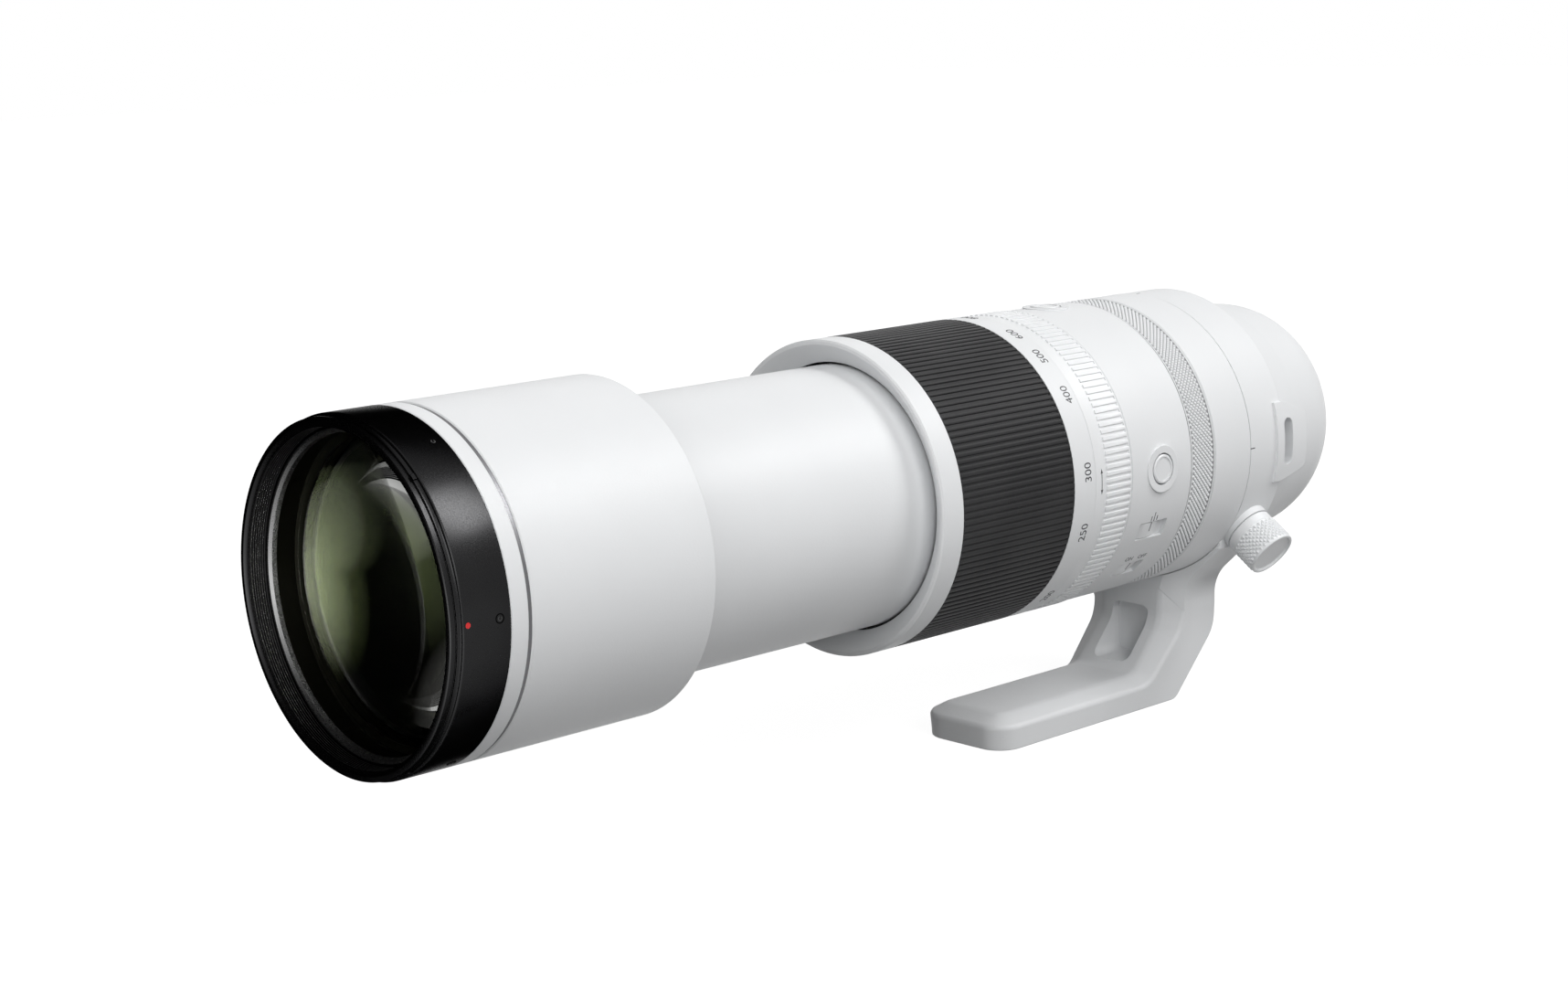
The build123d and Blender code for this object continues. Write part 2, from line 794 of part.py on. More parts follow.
with BuildPart() as accent_ring:
    ring(name_band_rear, accent_rear, front_tube_bore, front_radius - accent_depth)
save(accent_ring.part, "accent_ring")

with BuildPart() as name_ring:
    ring(front_ring_rear, name_band_rear, front_tube_bore, front_radius)
    chamfer(name_ring.edges().filter_by(GeomType.CIRCLE).group_by(SortBy.RADIUS)[-1], edge_break)
save(name_ring.part, "name_ring")

# Black front ring: the hood bayonet outside, the filter thread inside
thread_end = front + front_lead_in + filter_thread_length
hood_groove_front = front + hood_groove_offset
with BuildPart() as front_ring:
    turned(
        [
            (front, filter_thread_radius + front_lead_in),
            (front, hood_recess_radius - edge_break),
            (front + edge_break, hood_recess_radius),
            (hood_groove_front, hood_recess_radius),
            (hood_groove_front, hood_recess_radius - hood_groove_depth),
            (hood_groove_front + hood_groove_width, hood_recess_radius - hood_groove_depth),
            (hood_groove_front + hood_groove_width, hood_recess_radius),
            (front + hood_recess_length, hood_recess_radius),
            (front + hood_recess_length, front_radius - edge_break),
            (front + hood_recess_length + edge_break, front_radius),
            (front_ring_rear, front_radius),
            (front_ring_rear, front_tube_bore),
            (thread_end + retainer_thickness, front_tube_bore),
            (thread_end + retainer_thickness, retainer_seat_radius),
            (thread_end, retainer_seat_radius),
            (thread_end, filter_thread_radius),
            (front + front_lead_in, filter_thread_radius),
        ]
    )
save(front_ring.part, "front_ring")

# Front cell, its retaining ring and the two front glasses
cell_outer_radius = front_tube_bore - seat_gap
glass_front = front + front_glass_edge_depth
glass_rear = glass_front + front_glass_edge_thickness
second_front = glass_rear + second_glass_gap
second_rear = second_front + second_glass_edge_thickness
cell_front = thread_end + retainer_thickness + seat_gap
cell_rear = second_rear + cell_lip
with BuildPart() as retaining_ring:
    turned(
        [
            (thread_end, retainer_inner_radius + retainer_bevel),
            (thread_end, retainer_seat_radius - seat_gap),
            (thread_end + retainer_thickness, retainer_seat_radius - seat_gap),
            (thread_end + retainer_thickness, retainer_inner_radius),
            (thread_end + retainer_bevel, retainer_inner_radius),
        ]
    )
save(retaining_ring.part, "retaining_ring")

with BuildPart() as front_cell:
    turned(
        [
            (cell_front, front_glass_radius + glass_seat_gap),
            (cell_front, cell_outer_radius),
            (cell_rear, cell_outer_radius),
            (cell_rear, second_glass_radius - cell_lip),
            (second_rear + seat_gap, second_glass_radius - cell_lip),
            (second_rear + seat_gap, second_glass_radius + glass_seat_gap),
            (second_front - glass_seat_gap, second_glass_radius + glass_seat_gap),
            (second_front - glass_seat_gap, second_glass_radius - cell_rib),
            (glass_rear + seat_gap, second_glass_radius - cell_rib),
            (glass_rear + seat_gap, front_glass_radius + glass_seat_gap),
        ]
    )
save(front_cell.part, "front_cell")

with BuildPart() as front_glass:
    lens(
        glass_front,
        front_glass_edge_thickness,
        front_glass_radius,
        front_glass_front_sag,
        front_glass_rear_sag,
    )
save(front_glass.part, "front_glass")

with BuildPart() as second_glass:
    lens(
        second_front,
        second_glass_edge_thickness,
        second_glass_radius,
        second_glass_front_sag,
        second_glass_rear_sag,
    )
save(second_glass.part, "second_glass")

# Rollers on the inner tube's tail
with BuildPart() as guide_rollers:
    for angle in slot_angles:
        with BuildSketch(radial_plane(angle, roller_y, inner_tube_radius + seat_gap)):
            Circle(roller_radius)
        extrude(amount=cam_outer_radius - roller_top_gap - inner_tube_radius - seat_gap)
save(guide_rollers.part, "guide_rollers")

# Two push buttons, and the small switches that they press
for angle, label in zip(button_angles, ("side_button", "top_button")):
    with BuildPart() as button:
        with BuildSketch(radial_plane(angle, button_y, button_top)):
            Circle(button_radius)
        extrude(amount=-button_thickness)
        chamfer(button.faces().sort_by(outwards_axis(angle))[-1].edges(), edge_break)
        with BuildSketch(radial_plane(angle, button_y, button_top)):
            Circle(button_dish_radius)
        extrude(amount=-button_dish_depth, mode=Mode.SUBTRACT)
    save(button.part, label)

tact_height = button_top - button_thickness - button_travel - seat_gap - well_floor
with BuildPart() as tact_switches:
    for angle in button_angles:
        with BuildSketch(radial_plane(angle, button_y, well_floor)):
            Rectangle(tact_switch_size, tact_switch_size)
        extrude(amount=tact_height)
save(tact_switches.part, "tact_switches")

# Two sliding switches at their front stops
for angle, recess_front, length, label in (
    (mode_switch_angle, -mode_recess_front_distance, mode_slider_length, "mode_slider"),
    (
        stabilizer_switch_angle,
        -stabilizer_recess_front_distance,
        stabilizer_slider_length,
        "stabilizer_slider",
    ),
):
    slider_y = recess_front + switch_side_gap + length / 2
    slider_floor = switch_floor_radius + switch_floor_gap
    with BuildPart() as slider:
        with BuildSketch(radial_plane(angle, slider_y, slider_floor)):
            Rectangle(length, switch_recess_width - 2 * switch_side_gap)
        extrude(amount=switch_recess_depth / 2)
        with BuildSketch(radial_plane(angle, slider_y, slider_floor + switch_recess_depth / 2)):
            Rectangle(slider_ridge_length, switch_recess_width - 4 * switch_side_gap)
        extrude(amount=slider_ridge_height + switch_recess_depth / 2 - switch_floor_gap)
        chamfer(slider.faces().sort_by(outwards_axis(angle))[-1].edges(), slider_ridge_bevel)
    save(slider.part, label)

# Strap lugs: trapezoid ears that reach back from the collar wall, one each side
lug_root = collar_rear - lug_slot_width
with BuildPart() as lug_forms:
    with BuildSketch(radial_plane(0, 0, 0)):
        with BuildLine():
            FilletPolyline(
                (lug_root, lug_base_half_width),
                (collar_rear, lug_base_half_width),
                (-lug_rear_distance - lug_corner_radius, lug_waist_half_width - lug_corner_radius),
                (-lug_rear_distance, lug_tip_half_width),
                (-lug_rear_distance, -lug_tip_half_width),
                (-lug_rear_distance - lug_corner_radius, lug_corner_radius - lug_waist_half_width),
                (collar_rear, -lug_base_half_width),
                (lug_root, -lug_base_half_width),
                close=True,
                radius=(0, lug_corner_radius, 0, 0, 0, 0, lug_corner_radius, 0),
            )
        make_face()
    extrude(amount=2 * lug_outer_radius, both=True)
    with BuildSketch(Plane.YZ) as lug_wall:
        with Locations(((lug_root - lug_rear_distance) / 2, (lug_inner_radius + lug_outer_radius) / 2)):
            Rectangle(2 * (lug_base_half_width + lug_rear_distance), lug_outer_radius - lug_inner_radius)
    revolve(lug_wall.sketch, axis=Axis.Y, mode=Mode.INTERSECT)

# Tripod collar, neck and foot: one casting. Its upper edges carry a broad bevel all the way down,
# its sides lean outwards from the foot to the neck, and the neck flares into the collar and the boss.
foot_plane = -foot_plane_drop
foot_top = foot_plane + foot_thickness
foot_front = -foot_front_distance
collar_bore = collar_journal_radius + collar_bore_gap
socket_ys = (-socket_front_distance, -socket_front_distance + socket_spacing)
core_half_width = neck_half_width - casting_bevel_width
bevel_taper = math.degrees(math.atan2(casting_bevel_drop, casting_bevel_width))
bevel_lean = 90 - bevel_taper
side_height = foot_plane_drop - neck_straight_drop
draft_slope = (neck_half_width - foot_half_width) / side_height
side_draft = math.degrees(math.atan(draft_slope))
bevel_slope = casting_bevel_drop / casting_bevel_width
foot_top_half_width = foot_half_width + draft_slope * foot_thickness
foot_bevel_width = (foot_top_half_width - core_half_width) / (1 + draft_slope * bevel_slope)
foot_bevel_drop = bevel_slope * foot_bevel_width
foot_side_height = foot_thickness - foot_bevel_drop
knob_y = collar_front + knob_setback
collar_side_front = collar_front + collar_side_gap
boss_top_radius = collar_radius + boss_height
upper_run = [
    (-neck_front_distance, -neck_top_drop),
    (-neck_front_distance, -neck_bend_drop),
    (-neck_toe_distance, foot_top),
    (foot_front - overrun, foot_top),
]
with BuildSketch(Plane.YZ) as side_form:
    with BuildLine():
        FilletPolyline(
            *upper_run[:3],
            (foot_front - overrun, foot_top),
            (foot_front - overrun, foot_plane),
            (-foot_rear_distance, foot_plane),
            (-neck_heel_distance, -neck_heel_drop),
            (-neck_heel_distance, -neck_top_drop),
            close=True,
            radius=(0, neck_bend_radius, toe_radius, 0, 0, heel_radius, neck_heel_radius, 0),
        )
    make_face()
with BuildSketch(Plane.YZ) as lower_form:
    add(side_form.sketch_local)
    with BuildLine() as upper_line:
        FilletPolyline(*upper_run, radius=(neck_bend_radius, toe_radius))
    trace(line_width=2 * casting_bevel_drop, mode=Mode.SUBTRACT)
with BuildSketch(Plane.XY.offset(foot_plane)) as foot_outline:
    with Locations((0, (foot_front - collar_rear) / 2 + collar_rear)):
        Rectangle(2 * foot_half_width, -foot_front - collar_rear_distance)
    fillet(foot_outline.vertices().group_by(Axis.Y)[0], foot_corner_radius)
bevel_end = foot_front + 2 * foot_corner_radius
with BuildPart() as foot_limits:
    extrude(foot_outline.sketch, amount=foot_side_height, taper=-side_draft)
    with BuildSketch(Plane.XY.offset(foot_plane + foot_side_height)):
        add(foot_outline.sketch_local)
        offset(amount=draft_slope * foot_side_height)
    extrude(amount=foot_bevel_drop, taper=bevel_lean)
    with Locations((0, bevel_end, -neck_top_drop)):
        Box(
            4 * foot_half_width,
            2 * foot_front_distance,
            2 * foot_plane_drop,
            align=(Align.CENTER, Align.MIN, Align.CENTER),
        )
with BuildPart() as side_limits:
    with BuildSketch(station(collar_rear)):
        Polygon(
            (-foot_half_width, foot_plane),
            (foot_half_width, foot_plane),
            (neck_half_width, -neck_straight_drop),
            (neck_half_width, 0),
            (-neck_half_width, 0),
            (-neck_half_width, -neck_straight_drop),
            align=None,
        )
    extrude(amount=2 * foot_front_distance, both=True)

# The flare: on the knob's side it runs up into the boss, on the other side it meets the collar
knob_turn = math.radians(knob_angle)
knob_out = (math.cos(knob_turn), math.sin(knob_turn))
flare_tip_radius = boss_top_radius - flare_tip_drop
flare_tip_offset = boss_radius - flare_tip_inset
flare_tip = (
    flare_tip_radius * knob_out[0] + flare_tip_offset * knob_out[1],
    flare_tip_radius * knob_out[1] - flare_tip_offset * knob_out[0],
)
flare_corner_distance = math.hypot(neck_half_width, flare_drop)
flare_turn = math.atan2(flare_drop, neck_half_width) - math.acos(collar_radius / flare_corner_distance)
flare_end = (-collar_radius * math.cos(flare_turn), -collar_radius * math.sin(flare_turn))
bevel_start = -neck_front_distance + casting_bevel_drop
with BuildSketch(station(bevel_start)) as flare_section:
    with BuildLine():
        FilletPolyline(
            (-neck_half_width, -neck_straight_drop),
            (neck_half_width, -neck_straight_drop),
            (neck_half_width, -flare_drop),
            flare_tip,
            (collar_bore * knob_out[0], collar_bore * knob_out[1]),
            (0, 0),
            flare_end,
            (-neck_half_width, -flare_drop),
            close=True,
            radius=(0, 0, flare_radius, 0, 0, 0, 0, flare_radius),
        )
    make_face()

with BuildPart() as tripod_collar:
    extrude(side_form.sketch, amount=core_half_width, both=True)
    extrude(lower_form.sketch, amount=neck_half_width, both=True)
    with BuildSketch(Plane.YZ.offset(core_half_width)):
        add(side_form.sketch_local)
    extrude(amount=casting_bevel_width, taper=bevel_taper)
    mirror(about=Plane.YZ)
    add(foot_limits.part, mode=Mode.INTERSECT)
    add(side_limits.part, mode=Mode.INTERSECT)
    extrude(flare_section.sketch, amount=casting_bevel_drop, taper=bevel_lean)
    extrude(flare_section.sketch, amount=bevel_start + neck_heel_distance)
    for turn, radius in ((bevel_lean + side_draft, bevel_outer_radius), (bevel_taper, bevel_inner_radius)):
        casting_faces = tripod_collar.faces()
        fillet(
            [
                edge
                for edge in tripod_collar.edges()
                if edge.center().Z < casting_bevel_drop - neck_straight_drop
                and edge.center().Y < bevel_start + casting_bevel_drop
                and abs(turn_at(edge, casting_faces) - turn) <= side_draft + seam_angle
            ],
            radius=radius,
        )
    fillet(tripod_collar.edges().group_by(Axis.Z)[0], radius=foot_edge_radius)
    with BuildSketch(station(-web_back_distance)):
        with Locations((0, -(web_top_drop + web_floor_drop) / 2)):
            RectangleRounded(2 * web_half_width, web_floor_drop - web_top_drop, web_corner_radius)
    extrude(amount=neck_toe_distance, mode=Mode.SUBTRACT)
    ring(collar_side_front, collar_rear, collar_bore, collar_radius)
    add(lug_forms.part)
    with BuildSketch(radial_plane(knob_angle, knob_y, collar_bore - boss_radius)):
        Circle(boss_radius)
    extrude(amount=boss_top_radius - collar_bore + boss_radius)
    ring(-2 * neck_toe_distance, collar_side_front, 0, barrel_radius + turning_gap, mode=Mode.SUBTRACT)
    ring(collar_front, -lug_rear_distance, 0, collar_bore, mode=Mode.SUBTRACT)
    with BuildSketch(radial_plane(knob_angle, knob_y, 0)):
        Circle(clamp_screw_radius + clamp_screw_gap)
    extrude(amount=2 * collar_radius, mode=Mode.SUBTRACT)
    with BuildSketch(radial_plane(0, -lug_slot_front_distance + lug_slot_width / 2, 0)):
        SlotOverall(lug_slot_length, lug_slot_width, rotation=90)
    extrude(amount=2 * lug_outer_radius, both=True, mode=Mode.SUBTRACT)
    with BuildSketch(Plane.XY.offset(foot_plane)):
        with Locations(*[(0, y) for y in socket_ys]):
            Circle(socket_outer_radius)
    extrude(amount=socket_depth, mode=Mode.SUBTRACT)
save(tripod_collar.part, "tripod_collar")

# Threaded inserts of the foot: the large thread in front, the small one behind
with BuildPart() as tripod_sockets:
    for y, thread_radius in zip(socket_ys, (large_thread_radius, small_thread_radius)):
        with BuildSketch(Plane.XY.offset(foot_plane + seat_gap)):
            with Locations((0, y)):
                Circle(socket_outer_radius - seat_gap)
                Circle(thread_radius, mode=Mode.SUBTRACT)
        extrude(amount=socket_depth - 2 * seat_gap)
save(tripod_sockets.part, "tripod_sockets")

# Lock knob and the clamp screw that it turns
knob_base_radius = boss_top_radius + turning_gap / 2
with BuildPart() as lock_knob:
    with BuildSketch(radial_plane(knob_angle, knob_y, knob_base_radius)):
        Circle(knob_radius)
    extrude(amount=knob_length)
    chamfer(lock_knob.edges().filter_by(GeomType.CIRCLE), knob_bevel)
    with BuildSketch(radial_plane(knob_angle, knob_y, knob_base_radius + knob_length - knob_dish_depth)):
        Circle(knob_radius - knob_rim)
    extrude(amount=knob_length, mode=Mode.SUBTRACT)
    with BuildSketch(radial_plane(knob_angle, knob_y, knob_base_radius - overrun)):
        Circle(clamp_screw_radius + seat_gap)
    extrude(amount=clamp_screw_engagement + overrun, mode=Mode.SUBTRACT)
save(lock_knob.part, "lock_knob")

screw_tip_radius = collar_bore + turning_gap
with BuildPart() as clamp_screw:
    with BuildSketch(radial_plane(knob_angle, knob_y, screw_tip_radius)):
        Circle(clamp_screw_radius)
    extrude(amount=knob_base_radius + clamp_screw_engagement - seat_gap - screw_tip_radius)
save(clamp_screw.part, "clamp_screw")

# Frames and rods inside the barrel
rear_frame_front = shoulder_y + rear_frame_setback
rear_frame_rear = rear_frame_front + rear_frame_thickness
front_frame_front = rear_frame_rear - rod_length
rod_places = [
    (rod_circle_radius * math.cos(math.radians(angle)), rod_circle_radius * math.sin(math.radians(angle)))
    for angle in rod_angles
]
with BuildPart() as rear_frame:
    ring(rear_frame_front, rear_frame_rear, rear_frame_bore_radius, collar_journal_bore - seat_gap)
    with BuildSketch(station(rear_frame_rear + overrun)):
        with Locations(*rod_places):
            Circle(rod_radius + seat_gap)
    extrude(amount=rear_frame_thickness + 2 * overrun, mode=Mode.SUBTRACT)
save(rear_frame.part, "rear_frame")

with BuildPart() as front_frame:
    ring(front_frame_front, front_frame_front + front_frame_thickness, group_radius, front_frame_radius)
    with BuildSketch(station(front_frame_front + front_frame_thickness + overrun)):
        with Locations(*rod_places):
            Circle(rod_radius + seat_gap)
    extrude(amount=front_frame_thickness + 2 * overrun, mode=Mode.SUBTRACT)
save(front_frame.part, "front_frame")

with BuildPart() as guide_rods:
    with BuildSketch(station(rear_frame_rear)):
        with Locations(*rod_places):
            Circle(rod_radius)
    extrude(amount=rod_length)
save(guide_rods.part, "guide_rods")

# Lens groups that run on the rods: a cell with two rod bosses, and its glass
variator_front = front_frame_front + front_frame_thickness + variator_start
focus_front = front_frame_front + front_frame_thickness + focus_start
for front_y, length, label in (
    (variator_front, variator_length, "variator"),
    (focus_front, focus_length, "focus"),
):
    with BuildPart() as cell:
        ring(front_y, front_y + length, group_radius - group_wall, group_radius)
        ring(
            front_y + length - glass_cell_lip,
            front_y + length,
            group_radius - 2 * group_wall,
            group_radius - group_wall + seat_gap,
        )
        with BuildSketch(station(front_y + length)) as boss_section:
            with Locations(*rod_places):
                Circle(group_rod_boss_radius)
            Circle(group_radius - group_wall / 2, mode=Mode.SUBTRACT)
        extrude(amount=length)
        with BuildSketch(station(front_y + length + overrun)):
            with Locations(*rod_places):
                Circle(rod_radius + rod_gap)
        extrude(amount=length + 2 * overrun, mode=Mode.SUBTRACT)
    save(cell.part, f"{label}_cell")
    with BuildPart() as glass:
        lens(
            front_y + length - glass_cell_lip - seat_gap - glass_thickness,
            glass_thickness,
            group_radius - group_wall - seat_gap,
            glass_sag,
            -glass_sag / 2,
        )
    save(glass.part, f"{label}_glass")

# Fixed rear cell in the rear frame
rear_cell_radius = rear_frame_bore_radius - seat_gap
with BuildPart() as rear_cell:
    ring(rear_frame_front, rear_frame_front + rear_cell_length, rear_glass_radius + seat_gap, rear_cell_radius)
    ring(
        rear_frame_front + rear_cell_length - glass_cell_lip,
        rear_frame_front + rear_cell_length,
        rear_glass_radius - glass_cell_lip,
        rear_glass_radius + 2 * seat_gap,
    )
save(rear_cell.part, "rear_cell")
with BuildPart() as rear_glass:
    lens(
        rear_frame_front + rear_cell_length - glass_cell_lip - seat_gap - glass_thickness,
        glass_thickness,
        rear_glass_radius,
        glass_sag,
        -glass_sag / 2,
    )
save(rear_glass.part, "rear_glass")

# Circuit board against the spigot of the rear housing
board_rear = housing_front - spigot_length
with BuildPart() as circuit_board:
    ring(board_rear - board_thickness, board_rear, board_inner_radius, collar_journal_bore - seat_gap)
save(circuit_board.part, "circuit_board")

# Focus motor beside the focus group, standing on the rear frame
with BuildPart() as focus_motor:
    with BuildSketch(station(rear_frame_front)):
        with Locations(
            (
                motor_circle_radius * math.cos(math.radians(motor_angle)),
                motor_circle_radius * math.sin(math.radians(motor_angle)),
            )
        ):
            Rectangle(motor_width, motor_depth, rotation=motor_angle)
    extrude(amount=motor_length)
save(focus_motor.part, "focus_motor")
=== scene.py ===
import json
import math

import bmesh
import bpy
from mathutils import Matrix, Vector


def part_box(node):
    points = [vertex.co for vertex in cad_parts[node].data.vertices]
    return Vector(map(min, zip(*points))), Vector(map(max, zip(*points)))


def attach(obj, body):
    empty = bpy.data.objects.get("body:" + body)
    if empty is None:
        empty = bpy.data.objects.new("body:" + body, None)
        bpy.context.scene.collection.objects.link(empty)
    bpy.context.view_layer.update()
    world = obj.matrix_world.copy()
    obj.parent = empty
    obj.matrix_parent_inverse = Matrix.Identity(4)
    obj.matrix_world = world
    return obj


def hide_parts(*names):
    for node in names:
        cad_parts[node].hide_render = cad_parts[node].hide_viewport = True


# White super-telephoto zoom lens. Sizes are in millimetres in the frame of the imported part: the optical
# axis is Y, the front glass looks to -Y and the switches are on the +X side. An angle round the axis
# starts at +X and grows towards +Z. The stage, and places inside shaders, are in metres.

MM = 0.001
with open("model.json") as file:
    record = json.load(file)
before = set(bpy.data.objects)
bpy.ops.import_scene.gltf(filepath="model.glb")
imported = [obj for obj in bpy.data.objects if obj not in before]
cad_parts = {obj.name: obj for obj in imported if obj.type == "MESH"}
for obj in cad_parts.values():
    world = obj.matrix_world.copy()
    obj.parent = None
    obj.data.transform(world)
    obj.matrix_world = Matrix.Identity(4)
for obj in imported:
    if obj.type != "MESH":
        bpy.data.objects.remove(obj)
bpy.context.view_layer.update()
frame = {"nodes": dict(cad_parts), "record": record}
nodes = frame["nodes"]

barrel_radius = 50.6
zoom_radius = 50.97
front_radius = 51.15
ring_bore_radius = 48.5


def span(node):
    """Front and rear y of a CAD node, in millimetres."""
    low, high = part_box(node)
    return low.y / MM, high.y / MM


def add_object(name, data):
    holder = bpy.data.objects.new(name, data)
    bpy.context.scene.collection.objects.link(holder)
    return holder


# Shader helpers
def new_material(name):
    material = bpy.data.materials.new(name)
    material.use_nodes = True
    tree = material.node_tree
    return material, tree, tree.nodes["Principled BSDF"]


def noise(tree, scale, detail):
    place = tree.nodes.new("ShaderNodeTexCoord")
    texture = tree.nodes.new("ShaderNodeTexNoise")
    texture.inputs["Scale"].default_value = scale
    texture.inputs["Detail"].default_value = detail
    tree.links.new(place.outputs["Object"], texture.inputs["Vector"])
    return texture


def ramp(tree, source, low, high, start, end):
    """A value that goes evenly from low to high while the source goes from start to end."""
    node = tree.nodes.new("ShaderNodeMapRange")
    node.inputs["From Min"].default_value = start
    node.inputs["From Max"].default_value = end
    node.inputs["To Min"].default_value = low
    node.inputs["To Max"].default_value = high
    tree.links.new(source, node.inputs["Value"])
    return node.outputs["Result"]


def math_node(tree, operation, first, second):
    node = tree.nodes.new("ShaderNodeMath")
    node.operation = operation
    tree.links.new(first, node.inputs[0])
    tree.links.new(second, node.inputs[1])
    return node.outputs["Value"]


def mix_colors(tree, factor, first, second):
    """A mix of two colours, each written as a tuple or coming from a socket."""
    node = tree.nodes.new("ShaderNodeMix")
    node.data_type = "RGBA"
    for socket, color in ((node.inputs["A"], first), (node.inputs["B"], second)):
        if isinstance(color, tuple):
            socket.default_value = (*color, 1)
        else:
            tree.links.new(color, socket)
    tree.links.new(factor, node.inputs["Factor"])
    return node.outputs["Result"]


def bump(tree, shader, height, strength, distance, edge_radius):
    """A fine relief, over edges that look rounded where a radius is given."""
    node = tree.nodes.new("ShaderNodeBump")
    node.inputs["Strength"].default_value = strength
    node.inputs["Distance"].default_value = distance
    tree.links.new(height, node.inputs["Height"])
    if edge_radius:
        soft_edge = tree.nodes.new("ShaderNodeBevel")
        soft_edge.samples = 4
        soft_edge.inputs["Radius"].default_value = edge_radius
        tree.links.new(soft_edge.outputs["Normal"], node.inputs["Normal"])
    tree.links.new(node.outputs["Normal"], shader.inputs["Normal"])


def distance_from(tree, point):
    """The distance of the shaded place from a point, in metres."""
    place = tree.nodes.new("ShaderNodeTexCoord")
    reach = tree.nodes.new("ShaderNodeVectorMath")
    reach.operation = "DISTANCE"
    reach.inputs[1].default_value = point
    tree.links.new(place.outputs["Object"], reach.inputs[0])
    return reach.outputs["Value"]


def outside_of(tree, radius):
    """1 outside a cylinder round the optical axis and 0 inside it."""
    place = tree.nodes.new("ShaderNodeTexCoord")
    flatten = tree.nodes.new("ShaderNodeVectorMath")
    flatten.operation = "MULTIPLY"
    flatten.inputs[1].default_value = (1, 0, 1)
    tree.links.new(place.outputs["Object"], flatten.inputs[0])
    reach = tree.nodes.new("ShaderNodeVectorMath")
    reach.operation = "LENGTH"
    tree.links.new(flatten.outputs["Vector"], reach.inputs[0])
    blur = 0.1 * MM
    return ramp(tree, reach.outputs["Value"], 0, 1, radius - blur, radius + blur)


def surface(
    name,
    color,
    spread,
    rough,
    metallic=0.0,
    grain=2600,
    strength=0.25,
    depth=0.04,
    edge=0.0,
    specular=0.5,
    edge_tint=1.0,
    rough_spread=0.06,
    dark_inside=0.0,
    inner_color=(0.008, 0.008, 0.008),
):
    """A surface with a fine grain: two near colours, uneven roughness and a shallow bump. Depth, edge and
    dark_inside are in millimetres; inside that radius round the axis it takes the inner colour."""
    material, tree, shader = new_material(name)
    shader.inputs["Metallic"].default_value = metallic
    shader.inputs["Specular IOR Level"].default_value = specular
    shader.inputs["Specular Tint"].default_value = (edge_tint, edge_tint, edge_tint, 1)
    fine = noise(tree, grain, 3.0)
    broad = noise(tree, grain / 60, 2.0)
    darker = tuple(max(0.0, c - spread) for c in color)
    tone = mix_colors(tree, ramp(tree, broad.outputs["Fac"], 0, 1, 0.35, 0.65), darker, color)
    if dark_inside:
        tone = mix_colors(tree, outside_of(tree, dark_inside * MM), inner_color, tone)
    tree.links.new(tone, shader.inputs["Base Color"])
    roughness = ramp(tree, fine.outputs["Fac"], rough - rough_spread, rough + rough_spread, 0.3, 0.7)
    tree.links.new(roughness, shader.inputs["Roughness"])
    bump(tree, shader, fine.outputs["Fac"], strength, depth * MM, edge * MM)
    return material


def lens_glass(name, tint, coat_tint, level):
    """Clear glass whose coating sets the tint and the strength of its reflections."""
    material, tree, shader = new_material(name)
    film = noise(tree, 18, 1.0)
    slightly_darker = tuple(0.97 * c for c in tint)
    tone = mix_colors(tree, ramp(tree, film.outputs["Fac"], 0, 1, 0.3, 0.7), tint, slightly_darker)
    tree.links.new(tone, shader.inputs["Base Color"])
    shader.inputs["Roughness"].default_value = 0.0
    shader.inputs["IOR"].default_value = 1.5
    shader.inputs["Transmission Weight"].default_value = 1.0
    shader.inputs["Specular IOR Level"].default_value = level
    shader.inputs["Specular Tint"].default_value = (*coat_tint, 1)
    return material


